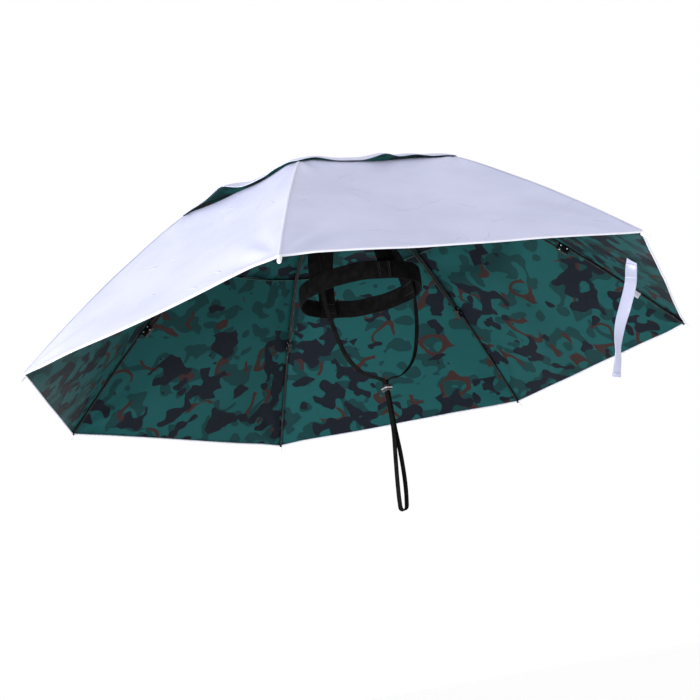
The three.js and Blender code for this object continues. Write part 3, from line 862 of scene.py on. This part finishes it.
for i in range(ribCount):
    pair = pairOf(i)
    surface = lambda v, u, i=i: panelSurface(i, v, u)
    piece = clothSheet("panel_" + pair, surface, panel["rows"], panel["columns"],
                       ribInward(i, panel["facing"]))
    finished(piece, "silver_cloth", "canopy_panel_" + pair)
    hems = (("rim_hem_", 1, silverTrim, "hemBead"), ("vent_hem_", 0, darkTrim, "ventBead"))
    for name, v, trim, radius in hems:
        hemBead(name + pair, surface, v, i, panel["columns"], trim, panel[radius])
    declareCloth(surface, chordAt(1))
print("canopy panels made")


# Top cap

cap = {
    "rows": 36, "columns": 90, "facing": 0.3, "hole": 0.010, "seat": 0.9, "reach": 0.005, "sag": 0.010,
    "steep": 5, "hemPlace": 0.986, "wrinkle": 0.4, "blur": 0.025, "atRibs": 1.4,
    # how far the free edge stands off the panels' hem, by share of the way from one rib to the next, in mm;
    # at the ribs, both ends of each row, it is held down
    "edges": {
        "fg": ((0.07, 3.0), (0.167, 2.7), (0.287, 6.5), (0.393, 4.3), (0.476, 9.8), (0.54, 5.0),
               (0.607, 1.4), (0.767, 1.4), (0.887, 6.5), (0.96, 4.0)),
        "ga": ((0.06, 5.5), (0.18, 5.5), (0.26, 2.7), (0.36, 2.5), (0.44, 3.6), (0.50, 8.2),
               (0.57, 16.4), (0.65, 12.3), (0.73, 8.2), (0.81, 6.0), (0.89, 4.5)),
        "ab": ((0.15, 3.5), (0.36, 7.0), (0.47, 12.5), (0.55, 8.0), (0.80, 4.0)),
        "bc": ((0.10, 4.0), (0.25, 2.5), (0.48, 5.0), (0.60, 11.0), (0.72, 6.0)),
        "cd": ((0.20, 6.0), (0.40, 9.0), (0.52, 13.5), (0.63, 7.5), (0.85, 3.0)),
        "de": ((0.18, 3.0), (0.33, 5.5), (0.42, 11.5), (0.55, 6.0), (0.78, 5.0)),
        "ef": ((0.22, 5.0), (0.45, 7.0), (0.58, 12.0), (0.68, 6.0), (0.88, 3.5)),
    },
}


def lineRow(rows, at):
    for low, high in zip(rows, rows[1:]):
        if at <= high[0]:
            share = (at - low[0]) / (high[0] - low[0])
            return low[1] + (high[1] - low[1]) * share
    return rows[-1][1]


def softRow(rows, at):
    return sum(lineRow(rows, min(max(at + cap["blur"] * k, 0), 1)) for k in (-1, 0, 0, 1)) / 4


def capSurface(i, v, u):
    rows = ((0, cap["atRibs"]), *cap["edges"][pairOf(i)], (1, cap["atRibs"]))
    edge = hemOut(u) + cap["reach"] / canopy["rimRadius"]
    hole = cap["hole"] / canopy["rimRadius"]
    out = hole + (edge - hole) * v
    point, inward = canopyPoint(i, out, u)
    stand = cap["seat"] + (softRow(rows, u) - cap["seat"]) * v ** cap["steep"]
    drawn = cap["sag"] * hump(u) * math.sin(math.pi * v) ** 2
    drawn += cap["wrinkle"] * wrinkle(i + ribCount, v, u) * v * (1 - v)
    return point + inward * (drawn - canopy["wall"] - stand * mm), clothPlace(i + ribCount, out, u)


for i in range(ribCount):
    pair = pairOf(i)
    surface = lambda v, u, i=i: capSurface(i, v, u)
    piece = clothSheet("cap_" + pair, surface, cap["rows"], cap["columns"], ribInward(i, cap["facing"]))
    finished(piece, "silver_cloth", "top_cap_gore_" + pair)
    bead = hemBead("cap_hem_" + pair, surface, cap["hemPlace"], i, cap["columns"], darkTrim,
                   panel["ventBead"])
    declareCloth(surface, chordAt(hemOut(0.5)))


seam = {
    "width": 0.0036, "lift": 0.00035, "wall": 0.0004, "stretch": 1.2, "widest": 0.45,
    # shares of the rim's radius, the first and last but one counted from the vent's hem
    "panelStart": 0.012, "panelEnd": 0.998, "capStart": 0.06, "capEnd": 0.008, "panelRows": 60, "capRows": 50,
}


# A narrow felled seam on the outside, over rib i
def seamTape(name, i, start, end, lift, rows):
    def surface(v, u):
        out = start + (end - start) * v
        across = seam["width"] * (u - 0.5)
        share = min(abs(across) / chordAt(out), seam["widest"])
        side = i if across >= 0 else (i - 1) % ribCount
        point, inward = canopyPoint(side, out, share if across >= 0 else 1 - share)
        return point - inward * lift, (across, out * canopy["rimRadius"] * seam["stretch"])

    piece = gridSheet(name, rows, 6, surface)
    applyModifier(piece, "SOLIDIFY", thickness=seam["wall"], offset=0.0)
    smooth(piece, 60)
    setMaterials(piece, silverSeam)
    return finished(piece, "silver_cloth")


capLift = canopy["wall"] + cap["seat"] * mm + seam["lift"]
for i, rib in enumerate(ribNames):
    seamTape("seam_" + rib, i, canopy["ventHem"] + seam["panelStart"], seam["panelEnd"], seam["lift"],
             seam["panelRows"])
    seamTape("cap_seam_" + rib, i, seam["capStart"], canopy["ventHem"] + seam["capEnd"], capLift,
             seam["capRows"])
print("top cap and seams made")


# Rib frame

ribs = {
    "radius": 0.0016, "joint": 0.69, "gap": 0.0003, "linkDrop": 0.007, "outerRows": 40, "innerRows": 48,
    "clipLength": 0.018, "clipWall": 0.0013, "clipReach": 0.007, "clipBevel": 0.0008,
    "rivetRadius": 0.0014, "rivetProud": 0.0007, "rivetSides": 20, "hubRadius": 0.026,
    # rivets through each clip: along the rib, and up from the clip's middle
    "rivets": ((-0.005, 0.0035), (0.005, 0.0035), (-0.004, -0.0030)),
    "tipRadius": 0.00255, "tipReach": 0.006, "tipSides": 24,
    # a tip's outside: share of its radius, distance along
    "tip": ((0.92, 0), (1, 0.0004), (1, 0.0025), (0.88, 0.003), (1, 0.0035), (1, 0.0037), (0.88, 0.0042),
            (1, 0.0047), (1, 0.0084), (0.93, 0.0098), (0.75, 0.0111), (0.45, 0.0118), (0, 0.012)),
}
rodDepth = canopy["cadWall"] + canopy["rodClearance"] + ribs["radius"]


def outAfter(i, out, length):
    return out - length * ribInward(i, out).z / canopy["rimRadius"]


def ribBar(name, i, start, end, below, rows):
    line = [ribPoint(i, start + (end - start) * k / rows, below) for k in range(rows + 1)]
    return roundRod(name, line, ribs["radius"], blackSteel)


# A domed pin through the joint, across the rib
def rivet(name, matrix, width):
    half, radius, proud = width / 2, ribs["rivetRadius"], ribs["rivetProud"]
    dome = [(radius, half), (radius * 0.6, half + proud * 0.75), (0, half + proud)]
    pin = turned(name, [(r, -z) for r, z in dome[::-1]] + dome, ribs["rivetSides"])
    smooth(pin)
    setMaterials(pin, brightSteel)
    return placed(pin, matrix @ Matrix.Rotation(math.pi / 2, 4, "X"))


def jointClip(name, i):
    height = ribs["linkDrop"] + ribs["radius"] + ribs["clipWall"]
    width = 2 * (ribs["radius"] + ribs["clipWall"])
    clipPlace = ribMatrix(i, ribs["joint"], rodDepth + ribs["gap"] + height / 2)
    clip = boxPiece(name, (ribs["clipLength"], width, height), ribs["clipBevel"])
    setMaterials(clip, blackSteel)
    pieces = [placed(clip, clipPlace)]
    for along, up in ribs["rivets"]:
        pieces.append(rivet(name + "_rivet", clipPlace @ Matrix.Translation((along, 0, up)), width))
    return pieces


def tipCap(name, i):
    bore, reach = ribs["radius"] + ribs["gap"], ribs["tipReach"]
    profile = [(0, reach), (bore, reach), (bore, 0)]
    profile += [(ribs["tipRadius"] * share, along) for share, along in ribs["tip"]]
    tip = turned(name, profile, ribs["tipSides"])
    smooth(tip)
    setMaterials(tip, whitePlastic)
    lying = Matrix.Rotation(math.pi / 2, 4, "Y")
    return placed(tip, ribMatrix(i, outAfter(i, 1, 2 * ribs["gap"]), rodDepth) @ lying)


for i, rib in enumerate(ribNames):
    bar = ribBar("outer_bar_" + rib, i, ribs["joint"], outAfter(i, 1, ribs["tipReach"]), rodDepth,
                 ribs["outerRows"])
    outer = joined("rib_outer_" + rib, [bar] + jointClip("clip_" + rib, i))
    finished(outer, "black_steel", "outer_rib_" + rib)
    hubOut = ribs["hubRadius"] / canopy["rimRadius"]
    end = outAfter(i, ribs["joint"], ribs["clipReach"] - ribs["clipLength"] / 2)
    rods = (("rib_inner_", 0.0, "inner_rib_"), ("rib_lower_", ribs["linkDrop"], "rib_link_"))
    for name, drop, node in rods:
        lean = ribInward(i, hubOut).dot(ribOutward(i)) * (rodDepth + drop)
        start = hubOut + (2 * ribs["gap"] - lean) / canopy["rimRadius"]
        bar = ribBar(name + rib, i, start, end, rodDepth + drop, ribs["innerRows"])
        finished(bar, "black_steel", node + rib)
    finished(tipCap("tip_" + rib, i), "white_plastic", "tip_cap_" + rib)
print("rib frame made")


# Hub

hub = {
    "postRadius": 0.008, "postFoot": 0.006, "plateRadius": 0.034, "plateWall": 0.0025, "edge": 0.001,
    "bevel": 0.0004, "sides": 64,
    "finialRadius": 0.017, "finialHeight": 0.005, "holeRadius": 0.0087, "domeSteps": 10,
    "groove": 0.0012, "grooveHalf": 0.0006, "chamfer": 0.0003, "rimWidth": 0.006,
    "dish": 0.0006, "dishSlope": 0.0005, "collar": 0.003,
    # the crown plate's upper face: radius, height over the plate
    "plate": ((0.020, 0), (0.019, -0.0008), (0.013, -0.0008), (0.011, 0), (0.0089, 0.003)),
}


def hubPiece(name, node, profile):
    piece = turned(name, profile, hub["sides"])
    applyModifier(piece, "BEVEL", width=hub["bevel"], segments=2, limit_method="ANGLE",
                  angle_limit=math.radians(40))
    smooth(piece)
    setMaterials(piece, blackPlastic)
    placed(piece, Matrix.Translation((axisPoint.x, axisPoint.y, 0)))
    return finished(piece, "black_plastic", node)


# A disc that holds the ribs' ends in the groove round its rim
def hubDisc(name, node):
    low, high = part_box(node)
    bore, rim = hub["postRadius"] + ribs["gap"], ribs["hubRadius"]
    bottom, top = low[2], high[2]
    middle, sunk = (bottom + top) / 2, top - hub["dish"]
    hubPiece(name, node, [
        (bore, bottom), (rim - hub["edge"], bottom), (rim, bottom + hub["edge"]),
        (rim, middle - hub["grooveHalf"]), (rim - hub["groove"], middle), (rim, middle + hub["grooveHalf"]),
        (rim, top - hub["chamfer"]), (rim - hub["chamfer"], top), (rim - hub["rimWidth"], top),
        (rim - hub["rimWidth"] - hub["dishSlope"], sunk), (bore + hub["collar"], sunk), (bore, top),
        (bore, bottom)])


hubDisc("notch", "hub_notch")
hubDisc("runner", "hub_runner")

low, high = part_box("centre_post")
plateTop = low[2] + hub["plateWall"]
hubPiece("post", "centre_post",
         [(0, low[2]), (hub["plateRadius"] - hub["edge"], low[2]), (hub["plateRadius"], low[2] + hub["edge"]),
          (hub["plateRadius"], plateTop)] + [(radius, plateTop + rise) for radius, rise in hub["plate"]] +
         [(hub["postRadius"], plateTop + hub["postFoot"]), (hub["postRadius"], high[2]), (0, high[2])])

low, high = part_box("finial")
seat = high[2] - hub["finialHeight"]
turns = [math.pi / 2 * k / hub["domeSteps"] for k in range(hub["domeSteps"])]
dome = [(hub["finialRadius"] * math.cos(a),
         seat + hub["edge"] + (hub["finialHeight"] - hub["edge"]) * math.sin(a)) for a in turns]
hubPiece("top_button", "finial",
         [(0, low[2]), (hub["holeRadius"], low[2]), (hub["holeRadius"], seat), (hub["finialRadius"], seat)] +
         dome + [(0, high[2])])
print("hub made")


# Headband and head straps

band = {
    "side": 0.077, "front": 0.097, "wall": 0.002, "clothWall": 0.0018, "height": 0.025,
    "pitch": 3.5, "roll": 1.4, "columns": 240, "rows": 8, "bevel": 0.0005, "cup": 0.0006, "lowerWave": 0.6,
    "waves": ((5, 0.7, 0.0005), (11, 0.0, 0.0004)),   # how many round the head, shift, height
    "lapAngle": -104, "lapLength": 0.022, "lapLift": 0.0006, "lapWall": 0.0010, "lapBevel": 0.0003,
    "lapRows": (-0.38, -0.28, 0.28, 0.38), "lapShares": (0.02, 0.98), "stitchShares": (0.06, 0.94),
}
headStraps = {
    "width": 0.030, "wall": 0.0016, "gap": 0.0008, "foot": 0.002, "rise": 0.112, "hole": 0.020,
    "rows": 48, "columns": 10, "bevel": 0.0004, "stitchRows": (0.03, 0.11), "stitchShares": (0.08, 0.92),
    # where each leaves the headband and meets the crown plate, in degrees
    "table": {"front": (-97, -95), "left": (-8, -12), "back": (88, 84), "right": (-172, -175)},
}
bandTurn = (Matrix.Rotation(math.radians(band["pitch"]), 3, "X")
            @ Matrix.Rotation(math.radians(band["roll"]), 3, "Y"))


def bandPoint(angle, out, height):
    a = math.radians(angle)
    flat = Vector(((band["side"] + out) * math.cos(a), (band["front"] + out) * math.sin(a), height))
    return bandTurn @ flat


# The angle that a length takes up on the headband
def bandAngle(length):
    return math.degrees(length / (band["side"] + band["front"]) * 2)


# The headband's outer face, a little wavy and with its edges drawn in
def elasticSurface(angle, share, out):
    a = math.radians(angle)
    wave = sum(rise * math.sin(count * a + shift) for count, shift, rise in band["waves"])
    height = band["height"] * share + wave * (1 if share > 0.5 else band["lowerWave"])
    return bandPoint(angle, out + band["cup"] * hump(share), height)


def closedRing(name):
    points, uvs, faces = [], [], []
    columns, rows = band["columns"], band["rows"]
    arc = runningLengths([bandPoint(360 * c / columns, band["wall"], 0) for c in range(columns + 1)])
    for c in range(columns):
        for r in range(rows + 1):
            points.append(elasticSurface(360 * c / columns, r / rows, band["wall"] / 2))
    for c in range(columns):
        for r in range(rows):
            a, b = c * (rows + 1) + r, (c + 1) % columns * (rows + 1) + r
            faces.append((a, b, b + 1, a + 1))
            low, high = band["height"] * r / rows, band["height"] * (r + 1) / rows
            uvs += [(low, arc[c]), (low, arc[c + 1]), (high, arc[c + 1]), (high, arc[c])]
    piece = newMesh(name, points, faces)
    layer = piece.data.uv_layers.new(name="cloth")
    for loop, uv in enumerate(uvs):
        layer.data[loop].uv = uv
    walled(piece, band["clothWall"], band["bevel"], 3)
    setMaterials(piece, elastic)
    return piece


def between(pair, share):
    return pair[0] + (pair[1] - pair[0]) * share


def lapSurface(v, u):
    angle = band["lapAngle"] + bandAngle(band["lapLength"]) * (v - 0.5)
    point = elasticSurface(angle, between(band["lapShares"], u), band["wall"] + band["lapLift"])
    return point, (band["height"] * u, band["lapLength"] * v)


ring = closedRing("head_band")
lap = gridSheet("band_lap", 12, 8, lapSurface)
walled(lap, band["lapWall"], band["lapBevel"])
setMaterials(lap, elastic)
bandPieces = [ring, lap]
for share in band["lapRows"]:
    angle = band["lapAngle"] + bandAngle(band["lapLength"]) * share
    line = [elasticSurface(angle, between(band["stitchShares"], k / 10), band["wall"] + 2 * band["lapLift"])
            for k in range(11)]
    bandPieces.append(stitchRun("band_stitch", line, blackThread, "elastic"))
finished(joined("head_band", bandPieces), "black_elastic", "headband")


def headStrap(name, angle, plateAngle):
    inside, a = -headStraps["gap"] - headStraps["wall"] / 2, math.radians(plateAngle)
    inwards = Vector((math.cos(a), math.sin(a), 0))

    def point(v, u):
        foot = bandPoint(angle + bandAngle(headStraps["width"]) * (u - 0.5), inside, headStraps["foot"])
        across = Vector((0, 0, 1)).cross(inwards) * (headStraps["width"] * (u - 0.5))
        head = inwards * headStraps["hole"] + across + Vector((axisPoint.x, axisPoint.y, headStraps["rise"]))
        turn = v * math.pi / 2
        place = head.lerp(foot, math.cos(turn))
        place.z = foot.z + (head.z - foot.z) * math.sin(turn)
        return place

    rows = headStraps["rows"]
    arc = runningLengths([point(r / rows, 0.5) for r in range(rows + 1)])

    def surface(v, u):
        return point(v, u), (headStraps["width"] * (u - 0.5), arc[round(v * rows)])

    piece = gridSheet(name, rows, headStraps["columns"], surface)
    walled(piece, headStraps["wall"], headStraps["bevel"])
    setMaterials(piece, elastic)
    pieces = [piece]
    for height in headStraps["stitchRows"]:
        line = []
        for k in range(9):
            at = point(height, between(headStraps["stitchShares"], k / 8))
            line.append(at + Vector((-at.x, -at.y, 0)).normalized() * (headStraps["wall"] / 2 + 0.1 * mm))
        pieces.append(stitchRun(name + "_stitch", line, blackThread, "elastic"))
    return joined(name, pieces)


for side, (angle, plateAngle) in headStraps["table"].items():
    strap = headStrap("head_strap_cloth_" + side, angle, plateAngle)
    finished(strap, "black_elastic", "head_strap_" + side)
print("headband and head straps made")


# Chin strap

chin = {
    "width": 0.009, "wall": 0.0014, "seat": 0.009, "angle": 15, "drop": 0.136, "slot": 0.0011,
    "loopDrop": 0.163, "loopHalf": 0.006, "loopLean": 0.020, "loopDrift": 0.006, "entry": 0.0018,
    "slider": (0.010, 0.013, 0.009), "sliderBevel": 0.0018, "slotBevel": 0.0003, "turn": (0.1, 0.3),
    "steps": 120, "loopSteps": 200, "stitchPlaces": (3, 9), "stitchWidth": 0.8,
    "crimpHeight": 0.0032, "crimpProud": 0.0004, "crimpDeep": 0.0003, "crimpBevel": 0.0014,
    # one side: share of the headband's half width, share of the drop
    "side": ((0.86, 0.39), (0.66, 0.71), (0.35, 0.87), (0.12, 0.90), (0.03, 0.925)),
    # half of the hanging loop: share of its drop, share of its half width
    "loop": ((0.10, 0.18), (0.35, 0.25), (0.55, 0.70), (0.78, 1.00), (0.93, 0.92), (0.985, 0.70)),
}
chinY = bandPoint(-chin["angle"], 0, 0).y
sliderMiddle = Vector((0, chinY, -chin["drop"]))
foreAft = Vector((0, 1, 0))


def chinSide(name, node, sign):
    angle = -chin["angle"] if sign > 0 else chin["angle"] - 180
    inside = -headStraps["gap"] - chin["wall"] / 2
    points = [bandPoint(angle, inside, chin["seat"]), bandPoint(angle, inside, -chin["seat"])]
    for side, drop in chin["side"]:
        points.append(Vector((sign * side * band["side"], chinY, -drop * chin["drop"])))
    for height in (chin["slider"][2] / 2 + chin["entry"], chin["slider"][2] / 2, ribs["gap"] / 2):
        points.append(sliderMiddle + Vector((sign * chin["slot"], 0, height)))
    even = curvePoints(points, chin["steps"])[0]
    alongBand = -(bandPoint(angle - sign, 0, 0) - bandPoint(angle + sign, 0, 0)).normalized()
    turnStart, turnEnd = chin["turn"]
    acrosses = []
    for k in range(chin["steps"] + 1):
        share = (k / chin["steps"] - turnStart) / (turnEnd - turnStart)
        acrosses.append(alongBand.lerp(foreAft, min(max(share, 0), 1)))
    pieces = [ribbon(name, even, acrosses, chin["width"], chin["wall"], webbing)]
    inner = Vector((sign, 0, 0)) * (chin["wall"] / 2)
    for k in chin["stitchPlaces"]:
        wide = alongBand * (chin["width"] * chin["stitchWidth"])
        line = [even[k] + wide * (q / 4 - 0.5) - inner for q in range(5)]
        pieces.append(stitchRun(name + "_stitch", line, blackThread, "webbing"))
    finished(joined(name, pieces), "black_webbing", node)


chinSide("chin_webbing_right", "chin_strap_right", -1)
chinSide("chin_webbing_left", "chin_strap_left", 1)


def loopPoint(sign, drop, half):
    swing = Vector((chin["loopDrift"] * drop, chin["loopLean"] * drop ** 2, -drop * chin["loopDrop"]))
    place = sliderMiddle + swing
    place.x = swing.x + sign * half * chin["loopHalf"]
    return place


rows = [(ribs["gap"] / 2 / chin["loopDrop"], chin["slot"] / chin["loopHalf"])] + list(chin["loop"])
loopLine = [loopPoint(-1, *row) for row in rows] + [loopPoint(0, 1, 0)]
loopLine += [loopPoint(1, *row) for row in rows[::-1]]
even = curvePoints(loopLine, chin["loopSteps"])[0]
loop = ribbon("chin_webbing_loop", even, [foreAft] * len(even), chin["width"], chin["wall"], webbing)
finished(loop, "black_webbing", "chin_strap_loop")


# A rounded block with a hole cut through it from top to bottom
def cutBlock(name, size, bevel, segments, hole, holeBevel, holeSegments, material):
    block = boxPiece(name, size, bevel, segments)
    cutter = boxPiece(name + "_cutter", hole, holeBevel, holeSegments)
    applyModifier(block, "BOOLEAN", operation="DIFFERENCE", object=cutter, solver="EXACT")
    bpy.data.objects.remove(cutter)
    smooth(block)
    setMaterials(block, material)
    return block


wide, deep, high = chin["slider"]
slot = (2 * chin["slot"] + chin["wall"] + 2 * ribs["gap"], chin["width"] + 2 * ribs["gap"], 0.03)
block = cutBlock("slider_block", chin["slider"], chin["sliderBevel"], 4, slot, chin["slotBevel"], 1,
                 blackPlastic)
outer, inner = 2 * chin["crimpProud"], -2 * chin["crimpDeep"]
crimp = cutBlock("slider_crimp", (wide + outer, deep + outer, chin["crimpHeight"]), chin["crimpBevel"], 3,
                 (wide + inner, deep + inner, 0.02), chin["crimpBevel"], 3, brightSteel)
slider = joined("chin_cord_slider", [block, crimp])
placed(slider, Matrix.Translation(sliderMiddle))
finished(slider, "black_plastic", "chin_slider")
print("chin strap made")


# Tie strap and tab

tie = {
    "width": 0.015, "wall": 0.0010, "length": 0.146, "out": 0.9325, "across": 0.58, "sewn": 0.006,
    "steps": 150, "peel": 0.0032, "clear": 0.0015, "doubled": 0.018, "hem": 0.005, "panel": 4, "cup": 0.0004,
    "layerLift": 0.95, "layerWall": 0.7, "layerWidth": 0.99, "stitchInset": 0.0015, "hemInset": 0.001,
    # reach, drop, back and side along the hanging part, as shares of its length, and its twist in degrees
    "route": ((0.00, 0.000, 0.000, 0.000, 0), (0.17, 0.160, 0.055, -0.010, 8),
              (0.35, 0.320, 0.130, -0.045, 20), (0.53, 0.480, 0.210, -0.085, 56),
              (0.69, 0.625, 0.270, -0.100, 85), (0.82, 0.750, 0.310, -0.102, 89),
              (1.00, 0.910, 0.370, -0.118, 79)),
    "tabOut": 0.882, "tabLength": 0.010, "tabHeight": 0.009, "tabBevel": 0.0004, "tabInset": 0.0012,
}


def panelDepth(out, across):
    hem = canopy["ventHem"]
    return canopy["cadWall"] + canopy["sag"] * hump(across) * math.sin(math.pi * (out - hem) / (1 - hem))


def insidePanel(out, across, gap):
    point, inward = canopyPoint(tie["panel"], out, across)
    return point + inward * (panelDepth(out, across) + gap)


def tieCurve():
    start = insidePanel(tie["out"], tie["across"] + tie["sewn"] / chordAt(tie["out"]), tie["clear"])
    hook = insidePanel(tie["out"], tie["across"], tie["clear"] + tie["peel"])
    hung = [hook + Vector((side, back, -drop)) * tie["length"]
            for reach, drop, back, side, twist in tie["route"]]
    return curvePoints([start] + hung, tie["steps"])


# The strap's width lies up the panel at the seam and turns as the strap hangs
def tieTurns():
    low, high = (canopyPoint(tie["panel"], tie["out"] + step, 0.5)[0] for step in
                 (-canopy["slopeStep"], canopy["slopeStep"]))
    upPanel = (high - low).normalized()
    rows = [(row[0], row[-1]) for row in tie["route"]]
    acrosses = []
    for k in range(tie["steps"] + 1):
        reach = (k / tie["steps"] * (tie["sewn"] + tie["length"]) - tie["sewn"]) / tie["length"]
        twist = Matrix.Rotation(math.radians(smoothRow(rows, max(reach, 0))), 3, "Z")
        acrosses.append(twist @ upPanel)
    return acrosses


tieEven, tieLength = tieCurve()
tieAcross = tieTurns()
last = tie["steps"]
perStep = tieLength / last


# A stretch of the strap, lifted off its middle
def tieLayer(name, start, end, lift, wall, width):
    points, acrosses = [], []
    for k in range(start, end + 1):
        along = (tieEven[min(k + 1, last)] - tieEven[max(k - 1, 0)]).normalized()
        across = (tieAcross[k] - along * tieAcross[k].dot(along)).normalized()
        points.append(tieEven[k] + along.cross(across) * lift)
        acrosses.append(across)
    return ribbon(name, points, acrosses, width, wall, silver, tie["cup"]), points, acrosses


# A second layer of cloth on one face, and the points and directions of its outer side
def facing(name, start, end, face):
    layer, points, acrosses = tieLayer(name, start, end, face * tie["wall"] * tie["layerLift"],
                                       tie["wall"] * tie["layerWall"], tie["width"] * tie["layerWidth"])
    along = (points[1] - points[0]).normalized()
    raised = [p + along.cross(a) * (face * tie["wall"] * 0.5) for p, a in zip(points, acrosses)]
    return layer, raised, acrosses


def crossStitches(point, across, half):
    line = [point + across * (half * q / 4) for q in range(-4, 5)]
    return stitchRun("tie_stitch", line, whiteThread)


parts = [tieLayer("tie_ribbon", 0, last, 0.0, tie["wall"], tie["width"])[0]]
first = round(tie["sewn"] / perStep)
for face in (1, -1):
    layer, raised, acrosses = facing("tie_double", first, first + round(tie["doubled"] / perStep), face)
    parts.append(layer)
    half = tie["width"] / 2 - tie["stitchInset"]
    for edge in (-1, 1):
        line = [p + a * (edge * half) for p, a in zip(raised[1:-1], acrosses[1:-1])]
        parts.append(stitchRun("tie_stitch", line, whiteThread))
    for k in (1, len(raised) - 2):
        parts.append(crossStitches(raised[k], acrosses[k], half))
layer, raised, acrosses = facing("tie_hem", last - round(tie["hem"] / perStep), last, 1)
parts += [layer, crossStitches(raised[1], acrosses[1], tie["width"] / 2 - tie["hemInset"])]
strap = finished(joined("tie_ribbon", parts), "silver_cloth", "tie_strap")

tab = boxPiece("tie_tab_cloth", (tie["tabLength"], tie["wall"], tie["tabHeight"]), tie["tabBevel"], 2)
setMaterials(tab, silverTrim)
half, top = tie["tabLength"] / 2 - tie["tabInset"], tie["tabHeight"] / 2 - tie["tabInset"]
corners = ((-half, -top), (half, -top), (half, top), (-half, top))
square = [Vector((x, -tie["wall"] / 2, z)) for x, z in corners]
tabParts = [tab]
for a, b in zip(square, square[1:] + square[:1]):
    tabParts.append(stitchRun("tab_stitch", [a.lerp(b, q / 3) for q in range(4)], whiteThread))
tab = joined("tie_tab_cloth", tabParts)
beside = Matrix.Translation((0, -(ribs["radius"] + ribs["gap"] + tie["wall"] / 2), 0))
placed(tab, ribMatrix(tie["panel"], tie["tabOut"], rodDepth + tie["tabHeight"] / 2) @ beside)
finished(tab, "silver_cloth", "tie_tab")
print("tie strap and tab made")

scene.view_layers[0].update()
